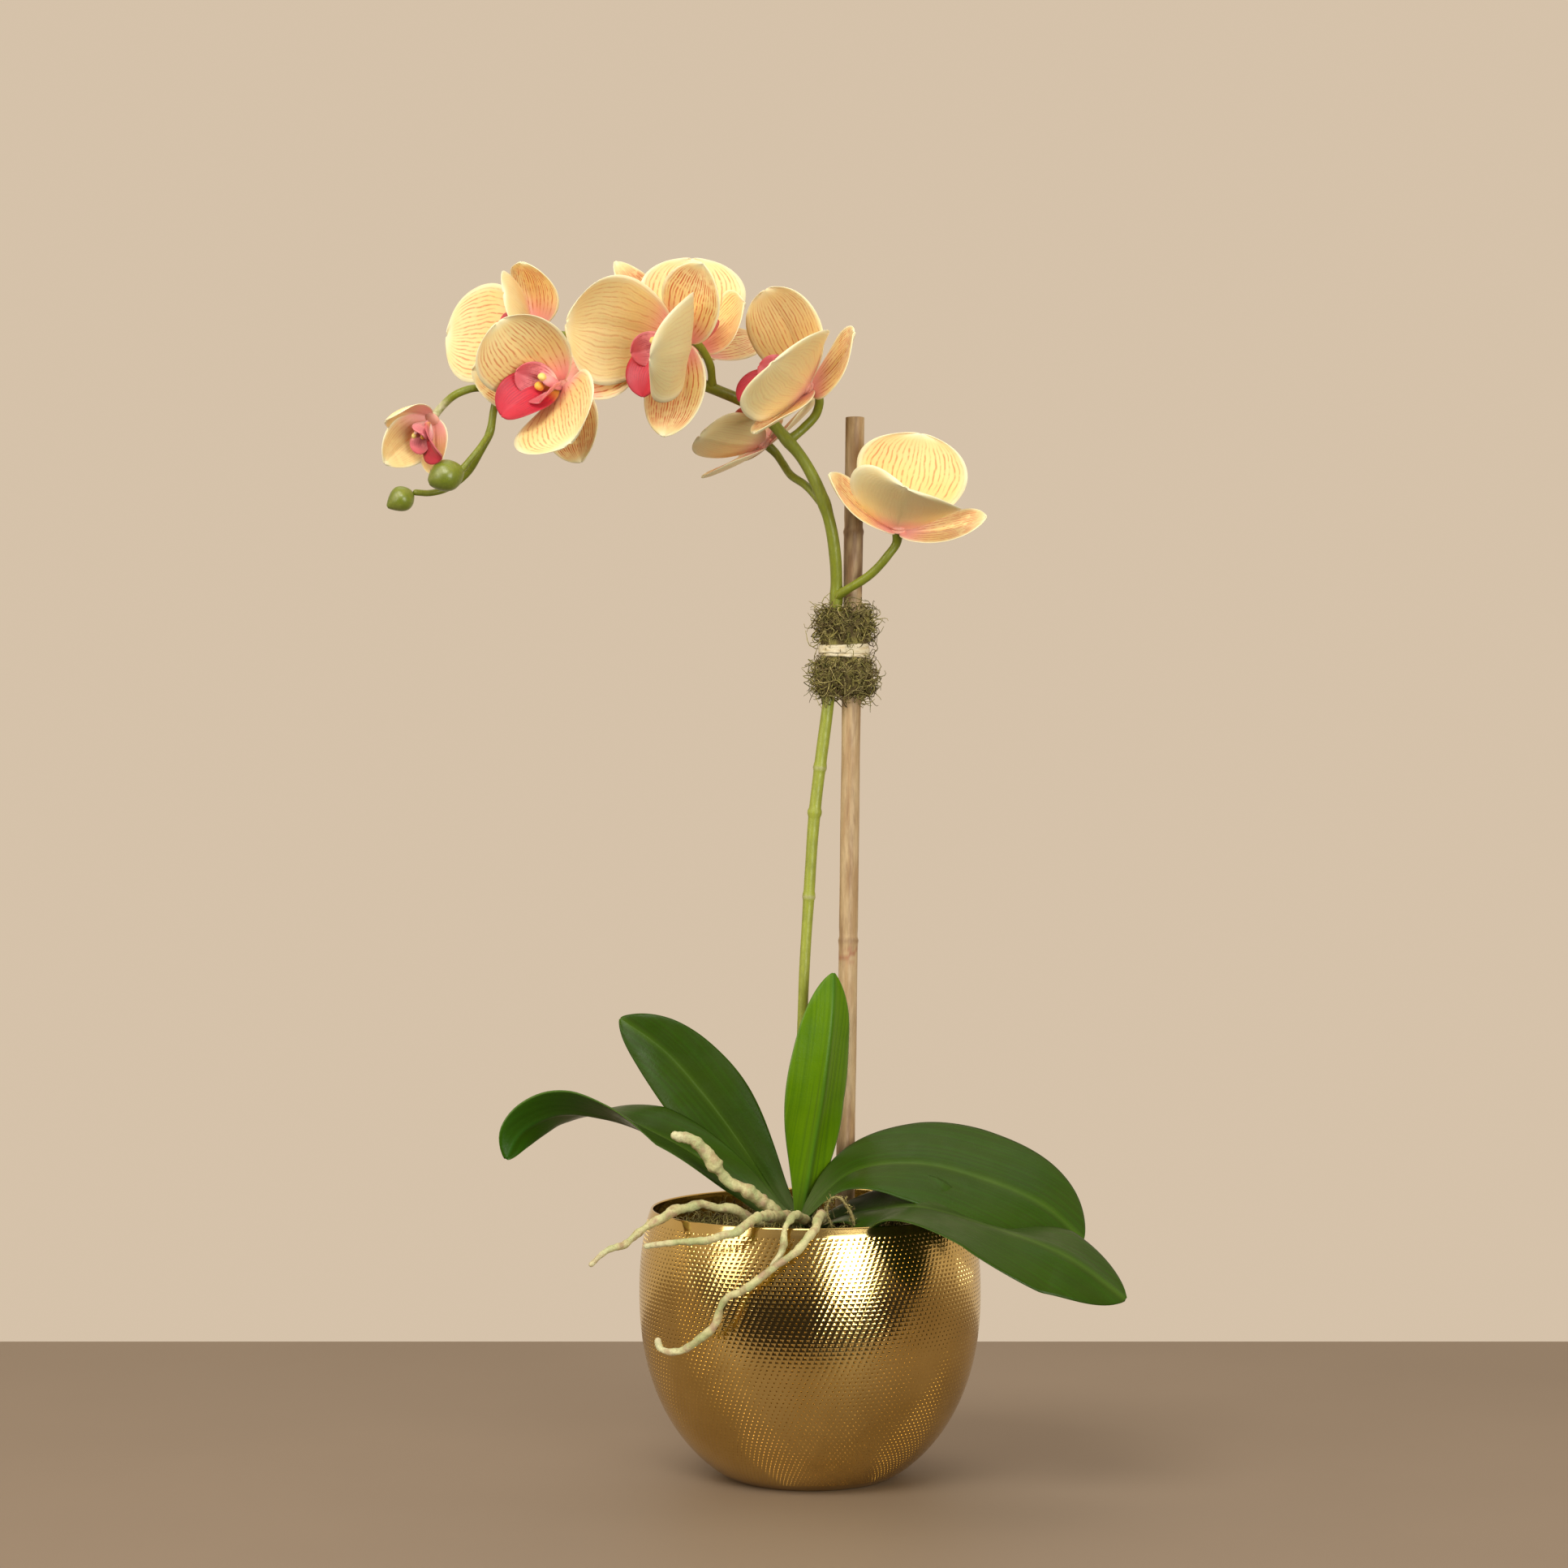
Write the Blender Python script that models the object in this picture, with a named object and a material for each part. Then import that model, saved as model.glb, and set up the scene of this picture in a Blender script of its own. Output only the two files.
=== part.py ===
"""Potted orchid: an arching flower spike tied to a bamboo stake, five strap leaves and
aerial roots on a short crown, in a round metal bowl filled with potting mix and moss.

Metres, +Z up. The origin is the centre of the bowl's foot, on the surface it stands on.
The spike arches towards -X, and the front of the plant faces -Y.
"""

import bpy
import bmesh
import numpy as np
from mathutils import Vector

# ---------------------------------------------------------------- driving dimensions
GAP = 0.0004  # free space kept between two pieces that touch

POT_RADIUS = 0.075  # widest, at the belly
POT_HEIGHT = 0.1175
POT_WALL = 0.0012
BELLY_HEIGHT = 0.081
BELLY_SPREAD = 0.0896  # half height of the whole bulge, were it not cut at foot and rim
BELLY_POWER = 2.2  # 2 is an ellipse; a higher power is squarer
POT_SIDES = 40

MIX_TOP = 0.094
MOSS_EDGE = 0.1055  # top of the moss at the wall
MOSS_CENTRE = 0.1085  # top of the moss at the crown

CROWN_CENTRE = Vector((-0.004, 0.0, 0.0))
CROWN_RADIUS = 0.0095
CROWN_TOP = 0.1145

STAKE_RADIUS = 0.0044
STAKE_FOOT = Vector((0.0143, 0.0085, 0.020))
STAKE_HEAD = Vector((0.0200, 0.0085, 0.4655))

TIE_HEIGHT = 0.3605
TIE_LENGTH = 0.035  # of the moss wrap, along the stake
BAND_LENGTH = 0.0055  # of the raffia band round its waist

SHEET = 0.0011  # thickness of a petal or sepal
LEAF_THICKNESS = 0.0018


# ---------------------------------------------------------------- materials and objects
def material(name, colour, roughness, metallic=0.0):
    """A plain finish."""
    made = bpy.data.materials.new(name)
    made.use_nodes = True
    shader = made.node_tree.nodes["Principled BSDF"]
    shader.inputs["Base Color"].default_value = (*colour, 1.0)
    shader.inputs["Roughness"].default_value = roughness
    shader.inputs["Metallic"].default_value = metallic
    made.diffuse_color = (*colour, 1.0)
    return made


def add_object(name, data, finish):
    obj = bpy.data.objects.new(name, data)
    obj.data.materials.append(finish)
    bpy.context.scene.collection.objects.link(obj)
    return obj


def mesh_object(name, points, faces, finish):
    """An object from points and faces, shaded smooth away from its sharp edges."""
    mesh = bpy.data.meshes.new(name)
    mesh.from_pydata([tuple(p) for p in points], [], faces)
    mesh.validate()
    mesh.shade_smooth()
    mesh.set_sharp_from_angle(angle=np.radians(40))
    return add_object(name, mesh, finish)


def face_outwards(obj):
    """Turns every face of a closed mesh outwards."""
    work = bmesh.new()
    work.from_mesh(obj.data)
    bmesh.ops.recalc_face_normals(work, faces=work.faces)
    work.to_mesh(obj.data)
    work.free()


def thicken(obj, thickness):
    """Gives a sheet its thickness, half on each side."""
    solid = obj.modifiers.new("thickness", "SOLIDIFY")
    solid.thickness = thickness
    solid.offset = 0.0
    solid.use_even_offset = False


def cut_hole(obj, cutter):
    """Takes the cutter's shape out of obj; the cutter stays as a hidden helper."""
    cutter.hide_render = True
    cutter.display_type = "WIRE"
    hole = obj.modifiers.new("hole for " + cutter.name, "BOOLEAN")
    hole.operation = "DIFFERENCE"
    hole.object = cutter


# ---------------------------------------------------------------- curves and sheets
def through(points, shares):
    """Values of the smooth curve through the given points, at shares of its length.

    Between two points it is a cubic whose slope at each point follows both neighbours.
    """
    points = np.array(points, float)
    steps = np.linalg.norm(np.diff(points[:, :3], axis=0), axis=1)
    knots = np.concatenate([[0.0], np.cumsum(steps)]) / steps.sum()
    slopes = np.gradient(points, knots, axis=0)
    shares = np.clip(np.asarray(shares, float), 0.0, 1.0)
    i = np.clip(np.searchsorted(knots, shares, side="right") - 1, 0, len(knots) - 2)
    span = (knots[i + 1] - knots[i])[:, None]
    s = (shares - knots[i])[:, None] / span
    return (
        (2 * s**3 - 3 * s**2 + 1) * points[i]
        + (s**3 - 2 * s**2 + s) * span * slopes[i]
        + (3 * s**2 - 2 * s**3) * points[i + 1]
        + (s**3 - s**2) * span * slopes[i + 1]
    )


def rod(name, points, radii, count, finish):
    """A round rod along the smooth curve through the points, its radius running through
    radii at even shares of its length."""
    shares = np.linspace(0, 1, count)
    line = through(points, shares)
    sizes = np.interp(shares, np.linspace(0, 1, len(radii)), radii)
    curve = bpy.data.curves.new(name, "CURVE")
    curve.dimensions = "3D"
    curve.bevel_depth = 1.0
    curve.bevel_resolution = 2
    curve.use_fill_caps = True
    spline = curve.splines.new("POLY")
    spline.points.add(count - 1)
    for place, point, size in zip(spline.points, line, sizes):
        place.co = (*point, 1.0)
        place.radius = size
    return add_object(name, curve, finish)


def grid_faces(rows, columns, first=0):
    """Quads of a grid whose points run column by column along each row."""
    corner = first + np.arange(rows - 1)[:, None] * columns + np.arange(columns - 1)
    quads = np.stack([corner, corner + 1, corner + columns + 1, corner + columns], axis=-1)
    return quads.reshape(-1, 4).tolist()


def turned(name, profile, sides, finish):
    """A closed body turned about Z from (radius, height) points that start and end on
    the axis, outer side first, top to bottom."""
    angles = np.linspace(0, 2 * np.pi, sides, endpoint=False)
    inner = profile[1:-1]
    rings = [
        np.stack([r * np.cos(angles), r * np.sin(angles), np.full(sides, z)], axis=1)
        for r, z in inner
    ]
    points = np.concatenate([*rings, [[0, 0, profile[0][1]]], [[0, 0, profile[-1][1]]]])
    faces = []
    for ring in range(len(inner) - 1):
        for side in range(sides):
            after = (side + 1) % sides
            faces.append(
                [ring * sides + side, ring * sides + after, (ring + 1) * sides + after,
                 (ring + 1) * sides + side]
            )
    top, bottom = len(points) - 2, len(points) - 1
    last = (len(inner) - 1) * sides
    for side in range(sides):
        after = (side + 1) % sides
        faces.append([top, after, side])
        faces.append([bottom, last + side, last + after])
    obj = mesh_object(name, points, faces, finish)
    face_outwards(obj)
    return obj


# ---------------------------------------------------------------- bowl, mix and moss
def belly_radius(height, inset=0.0):
    """Radius of the bowl's outer side at a height: a superellipse, less an inset."""
    share = np.abs((height - BELLY_HEIGHT) / (BELLY_SPREAD - inset))
    return (POT_RADIUS - inset) * (1 - share**BELLY_POWER) ** (1 / BELLY_POWER)


def build_pot(finish):
    outer = [(belly_radius(z), z) for z in POT_HEIGHT * (1 - np.linspace(0, 1, 10) ** 1.35)]
    inner = [
        (belly_radius(z, POT_WALL), z)
        for z in POT_WALL + (POT_HEIGHT - POT_WALL) * np.linspace(0, 1, 8) ** 1.35
    ]
    profile = [(0.0, 0.0), *outer[::-1], *inner[::-1], (0.0, POT_WALL)]
    return turned("pot", profile, POT_SIDES, finish)


def build_fill(mix_finish, moss_finish):
    """Potting mix up to MIX_TOP, and a low mound of moss over it."""
    clear = POT_WALL + GAP + 0.0004  # the facets of the wall reach in a little
    depth = np.linspace(0, 1, 6)
    mix_z = POT_WALL + GAP + (MIX_TOP - POT_WALL - GAP) * (1 - depth**1.5)
    mix = [(belly_radius(z, clear), z) for z in mix_z]
    turned("potting_mix", [(0, MIX_TOP), *mix, (0, POT_WALL + GAP)], 32, mix_finish)
    low = MIX_TOP + GAP
    edge = [(belly_radius(z, clear), z) for z in (MOSS_EDGE, low)]
    mound = [(r, MOSS_EDGE + (MOSS_CENTRE - MOSS_EDGE) * (1 - (r / edge[0][0]) ** 2))
             for r in (0.022, 0.044)]
    turned("moss_bed", [(0, MOSS_CENTRE), *mound, *edge, (0, low)], 32, moss_finish)


def cylinder_between(name, start, end, radius, sides, finish):
    """A straight round bar from start to end."""
    along = (end - start).normalized()
    across = along.orthogonal().normalized()
    other = along.cross(across)
    ring = [
        across * np.cos(a) * radius + other * np.sin(a) * radius
        for a in np.linspace(0, 2 * np.pi, sides, endpoint=False)
    ]
    points = [start + p for p in ring] + [end + p for p in ring]
    faces = [list(range(sides))[::-1], list(range(sides, 2 * sides))]
    for side in range(sides):
        after = (side + 1) % sides
        faces.append([side, after, sides + after, sides + side])
    obj = mesh_object(name, points, faces, finish)
    face_outwards(obj)
    return obj


def build_stake(finish):
    """The bamboo stake stands in a hole through the moss and deep into the mix."""
    stake = cylinder_between("bamboo_stake", STAKE_FOOT, STAKE_HEAD, STAKE_RADIUS, 16, finish)
    along = (STAKE_HEAD - STAKE_FOOT).normalized()
    for fill, top in (("potting_mix", 0.120), ("moss_bed", 0.125)):
        start = STAKE_FOOT - along * GAP * 2
        cutter = cylinder_between(
            "stake_hole_" + fill, start, start + along * top, STAKE_RADIUS + GAP, 16, finish
        )
        cut_hole(bpy.data.objects[fill], cutter)
    return stake


def build_crown(finish):
    """The short stem that the leaves, roots and spike grow from, set in the moss."""
    profile = [
        (0.0, CROWN_TOP),
        (CROWN_RADIUS * 0.75, CROWN_TOP),
        (CROWN_RADIUS, CROWN_TOP - 0.003),
        (CROWN_RADIUS, MIX_TOP + 2 * GAP + 0.004),
        (CROWN_RADIUS * 0.7, MIX_TOP + 2 * GAP),
        (0.0, MIX_TOP + 2 * GAP),
    ]
    crown = turned("crown", profile, 20, finish)
    crown.location = CROWN_CENTRE
    low = CROWN_CENTRE + Vector((0, 0, MIX_TOP - 0.003))
    high = CROWN_CENTRE + Vector((0, 0, CROWN_TOP + 0.003))
    cutter = cylinder_between("crown_hole", low, high, CROWN_RADIUS + 2 * GAP, 20, finish)
    cut_hole(bpy.data.objects["moss_bed"], cutter)


# ---------------------------------------------------------------- leaves
# spine: points along the midrib. side: which way the blade's far edge lies at the base.
# width: widest. roll: turn of the blade about the midrib, base to tip, in degrees.
# fold: how far each half is folded up from flat, base to tip, in degrees.
LEAVES = {
    "leaf_left_low": dict(
        spine=[(-0.0150, 0.000, 0.1135), (-0.034, -0.002, 0.1285), (-0.062, -0.004, 0.1470),
               (-0.090, -0.006, 0.1580), (-0.114, -0.008, 0.1590), (-0.128, -0.011, 0.1500)],
        tip=(-0.1325, -0.014, 0.1400), side=(0.0, 1.0, 0.0), width=0.034,
        roll=(38, 25, -15, -32), fold=(30, 22, 12, 8)),
    "leaf_left_high": dict(
        spine=[(-0.0110, 0.0055, 0.1160), (-0.026, 0.014, 0.1370), (-0.047, 0.022, 0.1645),
               (-0.066, 0.026, 0.1850)],
        tip=(-0.0850, 0.030, 0.1985), side=(0.2, 1.0, 0.2), width=0.034,
        roll=(62, 62, 62, 70), fold=(34, 24, 18, 16)),
    "leaf_centre": dict(
        spine=[(-0.0030, -0.0030, 0.1155), (0.0006, -0.0085, 0.1400), (0.0060, -0.0150, 0.1750),
               (0.0095, -0.0140, 0.2050)],
        tip=(0.0103, -0.0110, 0.2212), side=(-1.0, 0.0, 0.0), width=0.038,
        roll=(-8, -24, -28, -28), fold=(30, 34, 34, 28)),
    "leaf_right_high": dict(
        spine=[(0.0010, -0.0165, 0.1180), (0.018, -0.0195, 0.1360), (0.045, -0.0215, 0.1412),
               (0.075, -0.024, 0.1350), (0.102, -0.028, 0.1225)],
        tip=(0.1165, -0.031, 0.1070), side=(0.0, -1.0, 0.0), width=0.050,
        roll=(-16, -28, -36, -42, -44), fold=(14, 4, 0, -4, -4)),
    "leaf_right_low": dict(
        spine=[(0.0115, -0.0125, 0.1135), (0.030, -0.0320, 0.1202), (0.048, -0.0550, 0.1238),
               (0.076, -0.0690, 0.1165), (0.106, -0.0760, 0.1040)],
        tip=(0.1310, -0.0780, 0.0850), side=(0.3, -1.0, 0.0), width=0.050,
        roll=(-4, -2, -10, -38, -46), fold=(20, -4, -16, -14, -8)),
}


def unit(vectors):
    return vectors / np.linalg.norm(vectors, axis=-1, keepdims=True)


def leaf_width(u):
    """Half the width along a leaf, as a share of its widest: a strap that narrows to the
    clasping base and rounds off to a short point."""
    body = 0.22 + 0.78 * np.sin(np.pi / 2 * np.clip(u / 0.64, 0, 1)) ** 1.4
    return body * (1 - u**7) ** 0.6


def leaf_points(leaf, rows, columns):
    """Grid of a blade: across the midrib each half is a straight line folded up a little
    and curved back towards its edge."""
    u = np.linspace(0, 0.985, rows)
    v = np.linspace(-1, 1, columns)[None, :, None]
    spine = through([*leaf["spine"], leaf["tip"]], u)
    ahead = unit(np.gradient(spine, u, axis=0))
    side = np.array(leaf["side"], float)
    side = unit(side - (ahead @ side)[:, None] * ahead)
    up = np.cross(side, ahead)
    turn = np.radians(np.interp(u, np.linspace(0, 1, len(leaf["roll"])), leaf["roll"]))[:, None]
    side, up = side * np.cos(turn) + up * np.sin(turn), up * np.cos(turn) - side * np.sin(turn)
    fold = np.radians(np.interp(u, np.linspace(0, 1, len(leaf["fold"])), leaf["fold"]))
    half = (leaf["width"] / 2 * leaf_width(u))[:, None, None]
    lean = fold[:, None, None] * (1.0 - 0.25 * np.abs(v))
    across = v * np.cos(lean) * half
    lift = np.abs(v) * np.sin(lean) * half
    return spine[:, None, :] + across * side[:, None, :] + lift * up[:, None, :]


def build_leaves(finish):
    rows, columns = 11, 5
    for name, leaf in LEAVES.items():
        points = leaf_points(leaf, rows, columns).reshape(-1, 3)
        obj = mesh_object(name, points, grid_faces(rows, columns), finish)
        thicken(obj, LEAF_THICKNESS)


# ---------------------------------------------------------------- aerial roots
ROOTS = {
    "root_thick": dict(
        points=[(-0.0102, -0.0115, 0.1125), (-0.0180, -0.0170, 0.1200), (-0.0260, -0.0205, 0.1265),
                (-0.0355, -0.0235, 0.1310), (-0.0400, -0.0250, 0.1375), (-0.0460, -0.0265, 0.1455),
                (-0.0525, -0.0275, 0.1500), (-0.0580, -0.0280, 0.1520)],
        radii=(0.0026, 0.0029, 0.0028, 0.0024, 0.0028, 0.0029, 0.0026, 0.0020), count=12),
    "root_rim_far": dict(
        points=[(-0.0132, -0.0072, 0.1112), (-0.0200, -0.0150, 0.1125), (-0.0300, -0.0240, 0.1180),
                (-0.0450, -0.0320, 0.1225), (-0.0570, -0.0400, 0.1215), (-0.0680, -0.0470, 0.1165),
                (-0.0790, -0.0530, 0.1085), (-0.0870, -0.0570, 0.1055), (-0.0930, -0.0600, 0.1015)],
        radii=(0.0021, 0.0022, 0.0021, 0.0020, 0.0017, 0.0010), count=14),
    "root_rim_near": dict(
        points=[(-0.0062, -0.0125, 0.1118), (-0.0100, -0.0300, 0.1165), (-0.0160, -0.0500, 0.1200),
                (-0.0230, -0.0660, 0.1210), (-0.0320, -0.0750, 0.1165), (-0.0440, -0.0770, 0.1140),
                (-0.0560, -0.0750, 0.1125), (-0.0690, -0.0690, 0.1098)],
        radii=(0.0023, 0.0024, 0.0023, 0.0021, 0.0017, 0.0010), count=14),
    "root_front_short": dict(
        points=[(-0.0014, -0.0122, 0.1115), (-0.0035, -0.0350, 0.1170), (-0.0080, -0.0640, 0.1215),
                (-0.0110, -0.0760, 0.1180), (-0.0128, -0.0780, 0.1095), (-0.0165, -0.0785, 0.1020)],
        radii=(0.0019, 0.0019, 0.0017, 0.0012), count=12),
    "root_front_long": dict(
        points=[(0.0032, -0.0120, 0.1120), (0.0050, -0.0330, 0.1165), (0.0035, -0.0630, 0.1215),
                (0.0000, -0.0785, 0.1170), (-0.0060, -0.0820, 0.1100), (-0.0168, -0.0830, 0.1020),
                (-0.0286, -0.0825, 0.0935), (-0.0364, -0.0805, 0.0882), (-0.0390, -0.0790, 0.0825),
                (-0.0420, -0.0780, 0.0768), (-0.0470, -0.0765, 0.0715), (-0.0531, -0.0745, 0.0678),
                (-0.0592, -0.0725, 0.0660), (-0.0630, -0.0710, 0.0682), (-0.0640, -0.0705, 0.0712)],
        radii=(0.0020, 0.0020, 0.0019, 0.0017, 0.0015, 0.0015, 0.0014), count=22),
    "moss_tendril": dict(
        points=[(0.0115, -0.0400, 0.1115), (0.0085, -0.0430, 0.1180), (0.0074, -0.0440, 0.1230),
                (0.0095, -0.0450, 0.1265), (0.0130, -0.0450, 0.1265), (0.0160, -0.0445, 0.1225),
                (0.0182, -0.0435, 0.1180), (0.0188, -0.0430, 0.1115)],
        radii=(0.0009, 0.0009, 0.0008), count=16),
}


def build_roots(finish, moss_finish):
    for name, root in ROOTS.items():
        look = moss_finish if name == "moss_tendril" else finish
        rod(name, root["points"], root["radii"], root["count"], look)


# ---------------------------------------------------------------- spike, pedicels, buds
SPIKE = [
    (-0.0035, 0.0062, CROWN_TOP + GAP), (-0.0040, 0.0075, 0.1400), (-0.0036, 0.0085, 0.1800),
    (-0.0026, 0.0085, 0.2165), (-0.0004, 0.0085, 0.2540), (0.0022, 0.0085, 0.2915),
    (0.0050, 0.0085, 0.3150), (0.0080, 0.0085, 0.3380), (0.0104, 0.0080, 0.3630),
    (0.0117, 0.0060, 0.3850), (0.0113, 0.0020, 0.4020), (0.0086, -0.0010, 0.4190),
    (0.0025, -0.0020, 0.4360), (-0.0040, -0.0015, 0.4475), (-0.0110, 0.0000, 0.4560),
    (-0.0180, 0.0015, 0.4640), (-0.0262, 0.0030, 0.4705), (-0.0400, 0.0050, 0.4770),
    (-0.0565, 0.0070, 0.4835), (-0.0743, 0.0080, 0.4910), (-0.0920, 0.0080, 0.4985),
    (-0.1100, 0.0060, 0.5015), (-0.1240, 0.0030, 0.4970), (-0.1335, 0.0000, 0.4830),
    (-0.1385, -0.0030, 0.4690), (-0.1405, -0.0045, 0.4575), (-0.1450, -0.0025, 0.4490),
    (-0.1520, 0.0050, 0.4400), (-0.1600, 0.0080, 0.4345), (-0.1680, 0.0050, 0.4320),
    (-0.1735, 0.0015, 0.4320),
]
SPIKE_RADII = (0.0026, 0.0023, 0.0023, 0.0024, 0.0026, 0.0027, 0.0027, 0.0026, 0.0026, 0.0025,
               0.0023, 0.0019, 0.0016, 0.0014)

# at: where each leaves the spike. bends: points it passes. end: the flower or bud it holds.
PEDICELS = {
    "pedicel_far_right": dict(at=(0.0117, 0.0050, 0.3865), radius=0.0020, end="flower_far_right",
                              bends=[(0.0225, -0.0020, 0.3925), (0.0318, -0.0050, 0.3985)]),
    "pedicel_low": dict(at=(0.0060, -0.0013, 0.4265), radius=0.0019, end="flower_low",
                        bends=[(-0.0025, 0.0050, 0.4355), (-0.0090, 0.0130, 0.4412)]),
    "pedicel_right": dict(at=(-0.0095, 0.0000, 0.4545), radius=0.0021, end="flower_right",
                          bends=[(-0.0010, 0.0010, 0.4625)]),
    "pedicel_centre": dict(at=(-0.0430, 0.0055, 0.4785), radius=0.0019, end="flower_centre",
                           bends=[(-0.0420, -0.0010, 0.4880)]),
    "pedicel_centre_back": dict(at=(-0.0620, 0.0073, 0.4860), radius=0.0018,
                                end="flower_centre_back", bends=[(-0.0600, 0.0160, 0.4860)]),
    "pedicel_left": dict(at=(-0.0900, 0.0080, 0.4980), radius=0.0018, end="flower_left",
                         bends=[(-0.0930, 0.0070, 0.4880)]),
    "pedicel_left_back": dict(at=(-0.1030, 0.0070, 0.5010), radius=0.0018, end="flower_left_back",
                              bends=[(-0.1050, 0.0170, 0.5020)]),
    "pedicel_tip": dict(at=(-0.1370, -0.0022, 0.4740), radius=0.0018, end="flower_tip",
                        bends=[(-0.1440, -0.0060, 0.4760), (-0.1540, -0.0080, 0.4750)]),
    "pedicel_bud": dict(at=(-0.1405, -0.0045, 0.4575), radius=0.0014, end="bud_large",
                        bends=[(-0.1440, -0.0100, 0.4510)]),
}

# near: the end the stem meets. along: which way the bud points.
BUDS = {
    "bud_large": dict(near=(-0.1510, -0.0130, 0.4410), along=(-0.92, -0.10, -0.38),
                      length=0.0168, radius=0.0073, point=0.12),
    "bud_end": dict(near=(-0.1745, 0.0010, 0.4320), along=(-0.86, -0.10, -0.50),
                    length=0.0135, radius=0.0064, point=0.45),
}


def leaving_point(at, towards, radius):
    """Where a stem's end cap stands clear of the spike's side, and the spike's point."""
    shares = np.linspace(0, 1, 400)
    line = through(SPIKE, shares)
    near = int(np.argmin(np.linalg.norm(line - at, axis=1)))
    near = min(max(near, 1), len(line) - 2)
    along = unit(line[near + 1] - line[near - 1])
    outward = unit(np.array(towards) - line[near])
    slant = np.linalg.norm(np.cross(outward, along))
    spike = np.interp(shares[near], np.linspace(0, 1, len(SPIKE_RADII)), SPIKE_RADII)
    reach = (spike + GAP + radius * abs(outward @ along)) / slant
    return line[near] + outward * reach


def build_pedicels(finish):
    """Each stem leaves the spike, bends, and meets its flower's back square on."""
    for name, stem in PEDICELS.items():
        start = leaving_point(stem["at"], stem["bends"][0], stem["radius"])
        if stem["end"] in BUDS:
            bud = BUDS[stem["end"]]
            along = unit(np.array(bud["along"], float))
            tail = [np.array(bud["near"]) - along * GAP]
        else:
            flower = FLOWERS[stem["end"]]
            face = unit(np.array(flower["face"], float))
            hub = np.array(flower["hub"])
            tail = [hub - face * 0.0085, hub - face * (SHEET / 2 + GAP)]
        radii = (stem["radius"] * 0.9, stem["radius"], stem["radius"] * 1.1)
        rod(name, [start, *stem["bends"], *tail], radii, 12, finish)


def build_buds(finish):
    """A bud is an egg turned about its own axis, drawn out to a point."""
    for name, bud in BUDS.items():
        u = np.linspace(0, 1, 8)[1:-1]
        radii = bud["radius"] * np.sin(np.pi * u) ** 0.62 * (1 - bud["point"] * u**2)
        profile = [(0.0, bud["length"]), *zip(radii[::-1], bud["length"] * u[::-1]), (0.0, 0.0)]
        obj = turned(name, profile, 12, finish)
        obj.rotation_mode = "QUATERNION"
        obj.rotation_quaternion = Vector(bud["along"]).to_track_quat("Z", "Y")
        obj.location = bud["near"]


# ---------------------------------------------------------------- tie round the stake
def ring_object(name, profile, lean, finish):
    """A ring round stake and spike. Each profile point is (half width, half depth, height);
    the outer side comes first, top to bottom, then the inner side back up."""
    turns = np.linspace(0, 2 * np.pi, 20, endpoint=False)
    points = []
    for wide, deep, height in profile:
        x = 0.0152 + lean * (height - TIE_HEIGHT) + wide * np.cos(turns)
        points.append(np.stack([x, 0.0083 + deep * np.sin(turns), np.full(20, height)], axis=1))
    faces = []
    for k in range(len(profile)):
        after = (k + 1) % len(profile)
        for i in range(20):
            j = (i + 1) % 20
            faces.append([k * 20 + i, k * 20 + j, after * 20 + j, after * 20 + i])
    obj = mesh_object(name, np.concatenate(points), faces, finish)
    face_outwards(obj)


def build_tie(moss_finish, raffia_finish):
    top = TIE_HEIGHT + TIE_LENGTH / 2 + 0.0015
    low = TIE_HEIGHT - TIE_LENGTH / 2 + 0.0015
    half = BAND_LENGTH / 2
    middle = TIE_HEIGHT + 0.002
    wrap = [
        (0.0108, 0.0080, top), (0.0125, 0.0098, top - 0.004), (0.0120, 0.0094, middle + 0.005),
        (0.0106, 0.0076, middle + half + GAP), (0.0106, 0.0076, middle - half - GAP),
        (0.0140, 0.0112, middle - 0.007), (0.0145, 0.0118, low + 0.004), (0.0115, 0.0088, low),
        (0.0097, 0.0062, low + 0.001), (0.0097, 0.0062, top - 0.001),
    ]
    ring_object("moss_wrap", wrap, 0.035, moss_finish)
    band = [
        (0.0111, 0.0081, middle + half), (0.0118, 0.0088, middle + half - 0.001),
        (0.0118, 0.0088, middle - half + 0.001), (0.0111, 0.0081, middle - half),
    ]
    ring_object("raffia_tie", band, 0.035, raffia_finish)


# ---------------------------------------------------------------- flowers
# hub: the back of the flower. face: where it looks. up: towards its upper sepal.
# Each lobe is placed in the flower's own frame: heading in degrees (0 right, 90 up, as a
# viewer of its face sees it), length and width in metres, then in degrees the rise of its
# base towards the viewer, the further curl by its tip, the cupping of its two halves and
# the twist by its tip.
SEPAL = dict(length=0.040, width=0.029, rise=4, curl=8, cup=18, twist=0, grow=0.62, round=0.62)
PETAL = dict(length=0.042, width=0.047, rise=10, curl=16, cup=20, twist=0, grow=0.80, round=0.50)
LIP = dict(length=0.020, width=0.016, rise=60, curl=-40, cup=40, twist=0, grow=0.9, round=0.5)
HUB_RADIUS = 0.0032
LIP_HUB_RADIUS = 0.0017
PETAL_STEP = 0.0022  # from the sepals' hub to the petals' hub
LIP_STEP = 0.0042  # from the sepals' hub to the lip's hub

LIP_LOBES = [
    dict(heading=270, rise=52, curl=-46, cup=42, length=0.0230, width=0.0200),
    dict(heading=205, rise=70, curl=-6, cup=10, length=0.0125, width=0.0085),
    dict(heading=335, rise=70, curl=-6, cup=10, length=0.0125, width=0.0085),
    dict(heading=90, rise=72, curl=14, cup=75, length=0.0110, width=0.0070, grow=0.3, round=0.3),
]

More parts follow.
